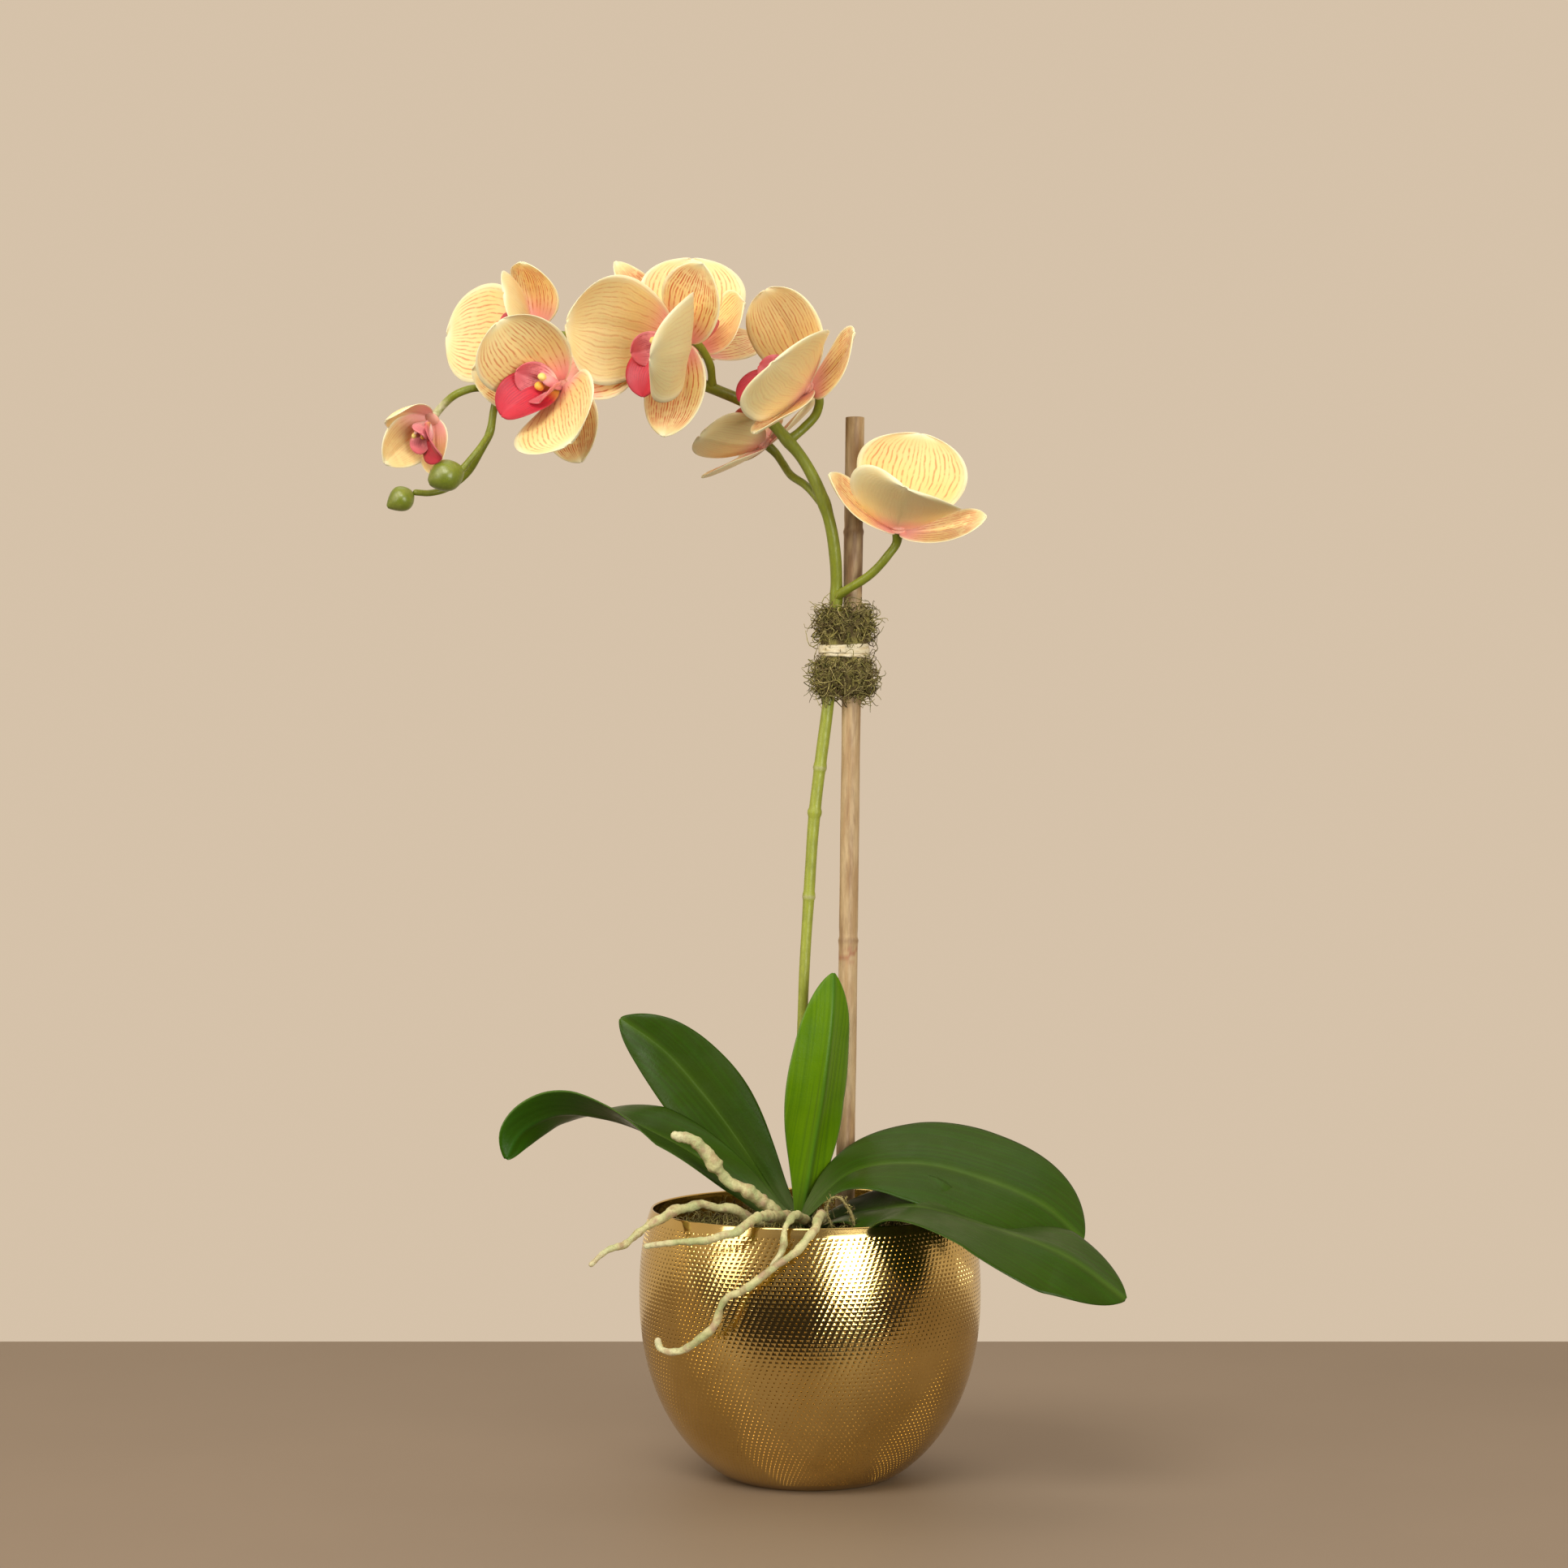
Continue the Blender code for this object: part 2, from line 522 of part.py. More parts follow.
FLOWERS = {
    "flower_left": dict(
        hub=(-0.1072, -0.0120, 0.4776), face=(-0.56, -0.83, -0.03), up=(0.59, -0.43, 0.68),
        sepals=[dict(heading=80, rise=-38, curl=-4, cup=10, twist=8, length=0.035),
                dict(heading=215, rise=38, curl=-8), dict(heading=318, rise=4, curl=6)],
        petals=[dict(heading=160, rise=58, curl=-28, cup=45, twist=20),
                dict(heading=354, rise=46, curl=-30, cup=32, twist=-12)]),
    "flower_left_back": dict(
        hub=(-0.1230, 0.0275, 0.5080), face=(-0.68, -0.70, 0.22), up=(0.25, 0.06, 0.97),
        sepals=[dict(heading=90, rise=14, curl=34, cup=10, twist=6, length=0.036),
                dict(heading=240, rise=-14), dict(heading=300, rise=-10)],
        petals=[dict(heading=196, rise=16, curl=12, cup=6, twist=8),
                dict(heading=34, rise=64, curl=8, cup=14, length=0.034, width=0.038)]),
    "flower_centre": dict(
        hub=(-0.0557, -0.0165, 0.4961), face=(-0.63, -0.73, -0.24), up=(0.01, -0.32, 0.95),
        sepals=[dict(heading=65, rise=10, curl=-4, cup=20, twist=14),
                dict(heading=297, rise=20, curl=22, cup=8, twist=-20, length=0.046),
                dict(heading=214, rise=8, curl=6, cup=8)],
        petals=[dict(heading=162, rise=38, curl=45, cup=42, twist=10, length=0.046, width=0.049),
                dict(heading=13, rise=22, curl=108, cup=16, twist=-34)]),
    "flower_centre_back": dict(
        hub=(-0.0520, 0.0200, 0.4960), face=(0.10, -0.60, 0.78), up=(0.20, 0.75, 0.60),
        sepals=[dict(heading=150, rise=-4, curl=12, length=0.046, width=0.022),
                dict(heading=46, rise=-8, curl=6), dict(heading=262, rise=30, length=0.020)],
        petals=[dict(heading=108, rise=34, curl=16),
                dict(heading=18, rise=34, curl=40, length=0.032, width=0.040)]),
    "flower_right": dict(
        hub=(0.0000, -0.0060, 0.4761), face=(-0.77, -0.48, 0.42), up=(0.56, -0.19, 0.81),
        sepals=[dict(heading=57, rise=0, curl=30, cup=8),
                dict(heading=300, rise=28, curl=6, cup=12, length=0.035),
                dict(heading=194, rise=6, curl=0, cup=10, width=0.019)],
        petals=[dict(heading=129, rise=35, curl=30, cup=10, length=0.046),
                dict(heading=8, rise=44, curl=17, cup=10, twist=-24, width=0.050)]),
    "flower_low": dict(
        hub=(-0.0185, 0.0210, 0.4545), face=(-0.72, -0.10, 0.68), up=(0.62, 0.30, 0.72),
        sepals=[dict(heading=64, rise=-6, length=0.034), dict(heading=160, rise=8, width=0.026),
                dict(heading=256, rise=18, length=0.032, width=0.026)],
        petals=[dict(heading=292, rise=38), dict(heading=128, rise=14)], lip_scale=0.74),
    "flower_far_right": dict(
        hub=(0.0382, -0.0099, 0.4135), face=(0.06, -0.40, 0.91), up=(0.84, 0.51, 0.17),
        sepals=[dict(heading=44, rise=8, curl=24, cup=12, twist=14),
                dict(heading=236, rise=26, curl=30, cup=26, twist=-12),
                dict(heading=140, rise=8, curl=12)],
        petals=[dict(heading=118, rise=62, curl=18, cup=24, twist=18, width=0.050),
                dict(heading=328, rise=46, curl=-6, cup=32, twist=-26, width=0.050)],
        lip_scale=0.62),
    "flower_tip": dict(
        hub=(-0.1660, -0.0070, 0.4640), face=(-0.32, -0.50, -0.80), up=(-0.60, 0.75, -0.20),
        sepals=[dict(heading=75, rise=52, curl=20, cup=26, length=0.0225, width=0.0165),
                dict(heading=165, rise=58, curl=20, cup=26, length=0.0210, width=0.0150),
                dict(heading=350, rise=62, curl=16, cup=20, length=0.0225, width=0.0140)],
        petals=[], lip_scale=0.50),
}


def lobe_points(lobe, rows, columns, hub_radius=HUB_RADIUS):
    """Grid of one lobe in its flower's frame: x right, y up, z out of the face.

    The midline leaves the hub at the rise angle and curls on towards the tip; across it
    the sheet is an arc, cupped forwards; the frame turns about the midline by the twist.
    """
    fine = np.linspace(0, 1, 81)
    heading = np.radians(lobe["heading"])
    out = np.array([np.cos(heading), np.sin(heading), 0.0])
    left = np.array([-np.sin(heading), np.cos(heading), 0.0])
    front = np.array([0.0, 0.0, 1.0])
    tilt = np.radians(lobe["rise"] + lobe["curl"] * fine**1.4)[:, None]
    ahead = np.cos(tilt) * out + np.sin(tilt) * front
    walked = np.concatenate([[[0, 0, 0]], np.cumsum((ahead[1:] + ahead[:-1]) / 2, axis=0)])
    spine = hub_radius * out + walked * lobe["length"] / 80
    u = np.linspace(0, 1, rows) ** 0.9 * 0.985
    spine = np.stack([np.interp(u, fine, spine[:, k]) for k in range(3)], axis=1)
    ahead = np.stack([np.interp(u, fine, ahead[:, k]) for k in range(3)], axis=1)
    side = np.broadcast_to(left, ahead.shape)
    normal = np.cross(ahead, side)
    turn = np.radians(lobe["twist"] * u)[:, None]
    side, normal = (
        side * np.cos(turn) + normal * np.sin(turn),
        normal * np.cos(turn) - side * np.sin(turn),
    )
    grow, end = lobe["grow"], lobe["round"]
    widest = (grow / (grow + end)) ** grow * (end / (grow + end)) ** end
    body = u**grow * (1 - u) ** end / widest
    half = (lobe["width"] / 2 * body + 0.55 * hub_radius * (1 - u))[:, None, None]
    v = np.linspace(-1, 1, columns)[None, :, None]
    bend = np.radians(lobe["cup"]) * np.sqrt(np.clip(u, 0.02, 1))[:, None, None] * 1.0001 + 1e-4
    across = np.sin(bend * v) / bend * half
    lift = (1 - np.cos(bend * v)) / bend * half
    return spine[:, None, :] + across * side[:, None, :] + lift * normal[:, None, :]


def flower_axes(flower):
    """Columns: the flower's right, up and face directions."""
    face = unit(np.array(flower["face"], float))
    up = np.array(flower["up"], float)
    up = unit(up - (up @ face) * face)
    return np.stack([np.cross(up, face), up, face], axis=1)


def hub_edge(here, after, radius):
    """Points on the hub's rim between two lobes that stand far apart."""
    span = (after - here) % 360 - 80
    count = max(int(span // 50), 0)
    angles = np.radians(here + 40 + span * np.arange(1, count + 1) / (count + 1))
    return np.stack([radius * np.cos(angles), radius * np.sin(angles), 0 * angles], axis=1)


def layer_object(name, flower, lobes, common, layer, rows, columns, finish):
    """Lobes that share a small hub disc, as one sheet of even thickness. layer is the
    disc's height in front of the flower's back, and its radius."""
    height, hub_radius = layer
    points, faces, rims = [], [], []
    lobes = sorted(lobes, key=lambda lobe: lobe["heading"] % 360)
    for lobe, following in zip(lobes, lobes[1:] + lobes[:1]):
        first = len(points)
        grid = lobe_points({**common, **lobe}, rows, columns, hub_radius)
        points.extend(grid.reshape(-1, 3))
        faces.extend([face[::-1] for face in grid_faces(rows, columns, first)])
        rims.extend(range(first, first + columns))
        between = hub_edge(lobe["heading"], following["heading"], hub_radius)
        rims.extend(range(len(points), len(points) + len(between)))
        points.extend(between)
    centre = len(points)
    points.append(np.zeros(3))
    for here, after in zip(rims, rims[1:] + rims[:1]):
        faces.append([centre, here, after])
    axes = flower_axes(flower)
    points = np.array(points) + np.array([0, 0, height])
    points = points @ axes.T + np.array(flower["hub"])
    obj = mesh_object(name, points, faces, finish)
    face_outwards(obj)
    thicken(obj, SHEET)


def build_flowers(petal_finish, lip_finish):
    """Three layers each: sepals at the back, petals, then lip and column in one."""
    for name, flower in FLOWERS.items():
        back, middle, front = (0.0, HUB_RADIUS), (PETAL_STEP, HUB_RADIUS), (LIP_STEP, LIP_HUB_RADIUS)
        layer_object(name + "_sepals", flower, flower["sepals"], SEPAL, back, 6, 5, petal_finish)
        if flower["petals"]:
            layer_object(
                name + "_petals", flower, flower["petals"], PETAL, middle, 6, 5, petal_finish
            )
        size = flower.get("lip_scale", 1.0)
        lobes = [
            {**LIP, **lobe, "length": lobe["length"] * size, "width": lobe["width"] * size}
            for lobe in LIP_LOBES
        ]
        layer_object(name + "_lip", flower, lobes, LIP, front, 5, 3, lip_finish)


# ---------------------------------------------------------------- the whole plant
def build():
    for obj in list(bpy.data.objects):
        bpy.data.objects.remove(obj)
    gold = material("brushed gold metal", (0.72, 0.50, 0.20), 0.22, 1.0)
    earth = material("potting mix", (0.09, 0.06, 0.04), 0.95)
    moss = material("dry moss", (0.24, 0.22, 0.07), 0.95)
    bamboo = material("bamboo", (0.62, 0.46, 0.27), 0.6)
    raffia = material("raffia", (0.90, 0.80, 0.55), 0.7)
    green = material("leaf green", (0.05, 0.20, 0.04), 0.35)
    stem = material("stem green", (0.22, 0.30, 0.05), 0.45)
    root = material("root", (0.62, 0.58, 0.32), 0.7)
    bud = material("bud green", (0.28, 0.34, 0.06), 0.35)
    petal = material("petal", (0.90, 0.68, 0.30), 0.55)
    lip = material("lip", (0.72, 0.08, 0.14), 0.5)
    build_pot(gold)
    build_fill(earth, moss)
    build_stake(bamboo)
    build_crown(stem)
    build_leaves(green)
    build_roots(root, moss)
    rod("flower_spike", SPIKE, SPIKE_RADII, 48, stem)
    build_pedicels(stem)
    build_buds(bud)
    build_tie(moss, raffia)
    build_flowers(petal, lip)


build()
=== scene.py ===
"""Potted moth orchid: an arching spike of cream yellow blooms tied to a bamboo stake, strap
leaves and aerial roots over moss, in a round gold bowl punched all over with dimples.

Metres, +Z up, the bowl's foot at the origin. The front of the plant faces -Y.
"""
import bpy
import numpy as np
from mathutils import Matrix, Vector


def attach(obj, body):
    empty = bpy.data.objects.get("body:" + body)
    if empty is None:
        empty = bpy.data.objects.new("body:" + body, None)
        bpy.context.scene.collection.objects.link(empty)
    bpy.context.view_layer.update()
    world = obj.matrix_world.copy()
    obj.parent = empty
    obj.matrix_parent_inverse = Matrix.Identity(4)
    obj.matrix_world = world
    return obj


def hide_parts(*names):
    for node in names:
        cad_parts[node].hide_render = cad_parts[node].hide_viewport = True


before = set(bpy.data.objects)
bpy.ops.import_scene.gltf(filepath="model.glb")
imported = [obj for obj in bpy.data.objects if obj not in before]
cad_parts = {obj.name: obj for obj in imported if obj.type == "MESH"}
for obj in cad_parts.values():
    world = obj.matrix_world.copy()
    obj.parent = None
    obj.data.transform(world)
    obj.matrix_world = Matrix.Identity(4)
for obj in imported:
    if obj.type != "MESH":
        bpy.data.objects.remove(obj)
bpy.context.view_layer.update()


# ---------------------------------------------------------------- vectors, curves, noise
def unit(vectors):
    """Each vector over its own length."""
    return vectors / np.maximum(np.linalg.norm(vectors, axis=-1, keepdims=True), 1e-12)


def step(low, high, x):
    """0 below low, 1 above high, and 3t2 - 2t3 between them."""
    t = np.clip((x - low) / (high - low), 0.0, 1.0)
    return t * t * (3 - 2 * t)


def blend(first, second, share):
    """Colours mixed from first to second by the share of each point."""
    share = np.asarray(share)[..., None]
    return np.asarray(first) * (1 - share) + np.asarray(second) * share


def through(points, shares):
    """Points of the smooth curve through the given ones: cubic pieces whose slope at each
    knot follows both neighbours, knots spaced by distance."""
    points = np.array(points, float)
    steps = np.linalg.norm(np.diff(points[:, :3], axis=0), axis=1)
    knots = np.concatenate([[0.0], np.cumsum(steps)]) / steps.sum()
    slopes = np.gradient(points, knots, axis=0)
    shares = np.clip(np.asarray(shares, float), 0.0, 1.0)
    i = np.clip(np.searchsorted(knots, shares, side="right") - 1, 0, len(knots) - 2)
    span = (knots[i + 1] - knots[i])[:, None]
    s = (shares - knots[i])[:, None] / span
    return ((2 * s**3 - 3 * s**2 + 1) * points[i] + (s**3 - 2 * s**2 + s) * span * slopes[i]
            + (3 * s**2 - 2 * s**3) * points[i + 1] + (s**3 - s**2) * span * slopes[i + 1])


def ripple(points, size, seed, waves=9):
    """Smooth noise from -1 to 1: the mean of cosines in seeded directions, about size long."""
    draw = np.random.default_rng(seed)
    ways = unit(draw.normal(size=(waves, 3))) * (2 * np.pi / size) * draw.uniform(0.6, 1.6, (waves, 1))
    phases = draw.uniform(0, 2 * np.pi, waves)
    return np.cos(points @ ways.T + phases).sum(axis=-1) / waves**0.5 / 1.2


# ---------------------------------------------------------------- meshes
# A part is a dict: points (n, 3), quads (m, 4), tris (k, 3), marks {name: value per point}.
def part(points, quads, tris=None, **marks):
    """A part from its arrays; without tris it has none."""
    tris = np.zeros((0, 3), int) if tris is None else tris
    return dict(points=points, quads=quads, tris=tris, marks=marks)


def joined(parts):
    """Parts laid one after another in one part; they share the same marks."""
    starts = np.cumsum([0] + [len(p["points"]) for p in parts])
    return dict(
        points=np.concatenate([p["points"] for p in parts]),
        quads=np.concatenate([p["quads"] + s for p, s in zip(parts, starts)]),
        tris=np.concatenate([p["tris"] + s for p, s in zip(parts, starts)]),
        marks={m: np.concatenate([p["marks"][m] for p in parts]) for m in parts[0]["marks"]},
    )


def make(name, shape, finish, replaced=(), sharp=None):
    """A piece from a part: its marks become point attributes that its finish reads.
    sharp: which faces, quads before tris, are shaded flat."""
    points, quads, tris = shape["points"], shape["quads"], shape["tris"]
    mesh = bpy.data.meshes.new(name)
    corners = np.concatenate([quads.ravel(), tris.ravel()]).astype(np.int32)
    sizes = np.concatenate([np.full(len(quads), 4), np.full(len(tris), 3)])
    mesh.vertices.add(len(points))
    mesh.vertices.foreach_set("co", points.astype(np.float32).ravel())
    mesh.loops.add(len(corners))
    mesh.loops.foreach_set("vertex_index", corners)
    mesh.polygons.add(len(sizes))
    mesh.polygons.foreach_set("loop_start", (np.cumsum(sizes) - sizes).astype(np.int32))
    smooth = np.ones(len(sizes), bool) if sharp is None else ~sharp
    mesh.polygons.foreach_set("use_smooth", smooth)
    mesh.update(calc_edges=True)
    for mark, values in shape["marks"].items():
        values = np.asarray(values, np.float32)
        if values.ndim == 2:
            layer = mesh.attributes.new(mark, "FLOAT_COLOR", "POINT")
            rgba = np.concatenate([values, np.ones((len(values), 1), np.float32)], axis=1)
            layer.data.foreach_set("color", rgba.ravel())
        else:
            mesh.attributes.new(mark, "FLOAT", "POINT").data.foreach_set("value", values.ravel())
    mesh.materials.append(finish)
    obj = bpy.data.objects.new(name, mesh)
    bpy.context.scene.collection.objects.link(obj)
    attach(obj, "root")
    if replaced:
        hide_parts(*replaced)
    return obj


def grid_quads(rows, columns):
    """Quads of a grid whose points run column by column along each row."""
    corner = np.arange(rows - 1)[:, None] * columns + np.arange(columns - 1)
    return np.stack([corner, corner + columns, corner + columns + 1, corner + 1], -1).reshape(-1, 4)


def shell(rings, **marks):
    """Closed skin over a stack of rings (rows, sides, 3), with a fan to a pole at each end.
    marks are (rows, sides) or (rows, sides, 3); each pole takes its ring's mean."""
    rows, sides = rings.shape[:2]
    here = np.arange(sides)
    after = (here + 1) % sides
    low = np.arange(rows - 1)[:, None] * sides
    quads = np.stack([low + here, low + after, low + sides + after, low + sides + here], -1)
    first, last = rows * sides, rows * sides + 1
    top = (rows - 1) * sides
    tris = np.concatenate([
        np.stack([np.full(sides, first), after, here], -1),
        np.stack([np.full(sides, last), top + here, top + after], -1),
    ])

    def flat(values):
        ends = np.stack([values[0].mean(axis=0), values[-1].mean(axis=0)])
        return np.concatenate([values.reshape(rows * sides, *values.shape[2:]), ends])

    return part(flat(rings), quads.reshape(-1, 4), tris, **{m: flat(v) for m, v in marks.items()})


def carried(path):
    """Two directions square to a path at each of its points, turned as little as possible
    from one point to the next."""
    ahead = unit(np.gradient(path, axis=0))
    start = np.cross(ahead[0], [0.31, 0.77, 0.55])
    side = [start / np.linalg.norm(start)]
    for way in ahead[1:]:
        moved = side[-1] - (side[-1] @ way) * way
        side.append(moved / np.linalg.norm(moved))
    side = np.array(side)
    return side, np.cross(ahead, side)


def tube(path, radii, sides, wobble=None):
    """Rings of a round stem: centre path(s) plus r(s) times (cos a, sin a) in the plane
    across the path, with half a sphere's worth of smaller rings at each end. wobble scales
    r at each (s, a)."""
    side, other = carried(path)
    turn = np.linspace(0, 2 * np.pi, sides, endpoint=False)
    round_way = side[:, None, :] * np.cos(turn)[:, None] + other[:, None, :] * np.sin(turn)[:, None]
    size = radii[:, None] * (np.ones((len(path), sides)) if wobble is None else wobble)
    body = path[:, None, :] + round_way * size[:, :, None]
    bend = np.radians([75, 50, 25])
    ahead = unit(np.gradient(path, axis=0))
    caps = []
    for end, sign in ((0, -1), (-1, 1)):
        rings = [path[end] + round_way[end] * size[end][:, None] * np.cos(b)
                 + sign * ahead[end] * radii[end] * np.sin(b) for b in bend]
        caps.append(np.array(rings if end == 0 else rings[::-1]))
    return np.concatenate([caps[0], body, caps[1]])


def stretched(values):
    """Values along a path repeated onto the extra rings that tube() adds at the ends."""
    return np.concatenate([np.repeat(values[:1], 3, axis=0), values, np.repeat(values[-1:], 3, axis=0)])


def blade(grid, thickness, front, back):
    """A thin closed sheet: the grid moved both ways along its normals by half the
    thickness, which falls to a fifth at the rim. front and back are dicts of marks."""
    rows, columns = grid.shape[:2]
    normal = unit(np.cross(np.gradient(grid, axis=0), np.gradient(grid, axis=1)))
    v = np.abs(np.linspace(-1, 1, columns))[None, :]
    u = np.linspace(0, 1, rows)[:, None]
    half = thickness / 2 * (1 - 0.8 * np.maximum(v**5, u**14))[:, :, None]
    above, below = grid + normal * half, grid - normal * half
    quads = grid_quads(rows, columns)
    count = rows * columns
    index = np.arange(count).reshape(rows, columns)
    rim = np.concatenate([index[:, 0], index[-1, 1:], index[-2::-1, -1], index[0, -2:0:-1]])
    ahead = np.roll(rim, -1)
    strip = np.stack([rim, rim + count, ahead + count, ahead], -1)
    quads = np.concatenate([quads, quads[:, ::-1] + count, strip])
    marks = {m: np.concatenate([front[m].reshape(count, *front[m].shape[2:]),
                                back[m].reshape(count, *back[m].shape[2:])]) for m in front}
    return part(np.concatenate([above.reshape(-1, 3), below.reshape(-1, 3)]), quads, **marks)


# ---------------------------------------------------------------- finishes
class Finish:
    """A Principled material and short ways to add nodes to it."""

    def __init__(self, name, roughness, metallic=0.0, **sockets):
        self.material = bpy.data.materials.new(name)
        self.material.use_nodes = True
        self.tree = self.material.node_tree
        self.shader = self.tree.nodes["Principled BSDF"]
        self.shader.inputs["Roughness"].default_value = roughness
        self.shader.inputs["Metallic"].default_value = metallic
        for socket, value in sockets.items():
            self.shader.inputs[socket.replace("_", " ")].default_value = value
        self.place = self.tree.nodes.new("ShaderNodeTexCoord").outputs["Object"]

    def plug(self, socket, value):
        """Links a node's output to the socket, or sets a constant on it."""
        if isinstance(value, bpy.types.NodeSocket):
            self.tree.links.new(value, socket)
        else:
            socket.default_value = value

    def math(self, operation, *values, clamp=False):
        """One arithmetic step on values or node outputs."""
        node = self.tree.nodes.new("ShaderNodeMath")
        node.operation = operation
        node.use_clamp = clamp
        for socket, value in zip(node.inputs, values):
            self.plug(socket, value)
        return node.outputs[0]

    def mark(self, name, output="Fac"):
        """A value that make() stored on the points."""
        node = self.tree.nodes.new("ShaderNodeAttribute")
        node.attribute_name = name
        return node.outputs[output]

    def stretch(self, scale):
        """Object coordinates times scale along each axis."""
        node = self.tree.nodes.new("ShaderNodeMapping")
        node.inputs["Scale"].default_value = scale
        self.plug(node.inputs["Vector"], self.place)
        return node.outputs[0]

    def vector(self, x, y):
        """A flat coordinate from two values."""
        node = self.tree.nodes.new("ShaderNodeCombineXYZ")
        for socket, value in zip(node.inputs, (x, y)):
            self.plug(socket, value)
        return node.outputs[0]

    def noise(self, scale, detail=3.0, rough=0.55, vector=None):
        """Cloudy noise over the object's own space, or over the vector given."""
        node = self.tree.nodes.new("ShaderNodeTexNoise")
        node.inputs["Scale"].default_value = scale
        node.inputs["Detail"].default_value = detail
        node.inputs["Roughness"].default_value = rough
        self.plug(node.inputs["Vector"], self.place if vector is None else vector)
        return node.outputs["Fac"]

    def between(self, value, low, high, first=0.0, second=1.0):
        """value from low..high to first..second, held at the ends."""
        node = self.tree.nodes.new("ShaderNodeMapRange")
        node.interpolation_type = "SMOOTHSTEP"
        for socket, given in zip(node.inputs, (value, low, high, first, second)):
            self.plug(socket, given)
        return node.outputs[0]

    def mix(self, share, first, second, way="MIX"):
        """Two colours mixed by a share, or multiplied."""
        node = self.tree.nodes.new("ShaderNodeMix")
        node.data_type = "RGBA"
        node.blend_type = way
        self.plug(node.inputs[0], share)
        for socket, colour in ((node.inputs[6], first), (node.inputs[7], second)):
            self.plug(socket, colour if isinstance(colour, bpy.types.NodeSocket) else (*colour, 1.0))
        return node.outputs[2]

    def colour(self, value):
        self.plug(self.shader.inputs["Base Color"], value)

    def rough(self, value):
        self.plug(self.shader.inputs["Roughness"], value)

    def bump(self, height, distance, strength=1.0):
        """Tilts the shading normal by a height in metres times distance."""
        node = self.tree.nodes.new("ShaderNodeBump")
        node.inputs["Strength"].default_value = strength
        node.inputs["Distance"].default_value = distance
        self.plug(node.inputs["Height"], height)
        self.plug(self.shader.inputs["Normal"], node.outputs[0])


def petal_finish(name, vein_colour, lines):
    """Soft petal: tint from the mesh, under broken veins that fan along the fan mark and
    double towards the rim, with fine lengthwise furrows."""
    look = Finish(name, 0.5, Subsurface_Weight=0.12, Sheen_Weight=0.08)
    look.shader.inputs["Subsurface Radius"].default_value = (0.004, 0.0022, 0.0012)
    look.shader.inputs["Subsurface Scale"].default_value = 0.6
    fan, vein, half = look.mark("fan"), look.mark("vein"), look.mark("half")
    drift = look.math("MULTIPLY", look.math("SUBTRACT", look.noise(95.0, 2.0), 0.5), 0.16)
    spread = look.math("ADD", fan, drift)
    masks = []
    for shift, width, inner, share in ((0.0, 0.00030, 0.0, 1.0), (0.5, 0.00024, 0.40, 0.85)):
        line = look.math("ADD", look.math("MULTIPLY", spread, lines), shift)
        away = look.math("PINGPONG", line, 0.5)
        # distance from the line in metres is away * half / lines
        gap = look.math("MULTIPLY", away, look.math("DIVIDE", half, lines))
        thin = look.between(gap, width * 0.4, width * 1.9, 1.0, 0.0)
        reach = look.between(look.mark("along"), inner, inner + 0.16)
        masks.append(look.math("MULTIPLY", look.math("MULTIPLY", thin, reach), share))
    lace = look.math("MAXIMUM", *masks)
    broken = look.between(look.noise(330.0, 2.0), 0.34, 0.56, 0.25, 1.0)
    mask = look.math("MULTIPLY", look.math("MULTIPLY", lace, broken), vein, clamp=True)
    cloud = look.between(look.noise(120.0, 4.0), 0.3, 0.7, 0.0, 0.30)
    ground = look.mix(cloud, look.mark("tint", "Color"), (1.0, 0.88, 0.74), "MULTIPLY")
    look.colour(look.mix(mask, ground, vein_colour))
    furrow = look.math("PINGPONG", look.math("MULTIPLY", spread, lines * 3.0), 0.5)
    height = look.math("ADD", look.math("MULTIPLY", furrow, 0.5), look.math("MULTIPLY", mask, -0.5))
    grain = look.math("ADD", height, look.math("MULTIPLY", look.noise(900.0, 2.0), 0.3))
    look.bump(grain, 0.00025, 0.55)
    look.rough(look.between(look.noise(60.0), 0.3, 0.7, 0.42, 0.56))
    return look.material


def leaf_finish():
    """Thick glossy blade: tint from the mesh, with lengthwise streaks and faint mottling."""
    look = Finish("strap leaf", 0.36, Specular_IOR_Level=0.13)
    run = look.vector(look.math("MULTIPLY", look.mark("along"), 9.0),
                      look.math("MULTIPLY", look.mark("across"), 620.0))
    streak = look.noise(1.0, 3.0, 0.6, run)
    ground = look.mix(look.between(streak, 0.42, 0.62, 0.0, 0.30),
                      look.mark("tint", "Color"), (0.030, 0.100, 0.003))
    dark = look.between(look.noise(55.0, 4.0), 0.35, 0.7, 0.0, 0.35)
    ground = look.mix(dark, ground, (0.55, 0.72, 0.45), "MULTIPLY")
    grey = look.math("MULTIPLY", look.mark("streak"), look.between(streak, 0.40, 0.60), clamp=True)
    look.colour(look.mix(grey, ground, (0.060, 0.050, 0.018)))
    height = look.math("ADD", look.math("MULTIPLY", streak, 0.7), look.noise(700.0, 2.0))
    look.bump(height, 0.00022, 0.35)
    look.rough(look.between(look.noise(130.0), 0.3, 0.7, 0.28, 0.40))
    return look.material


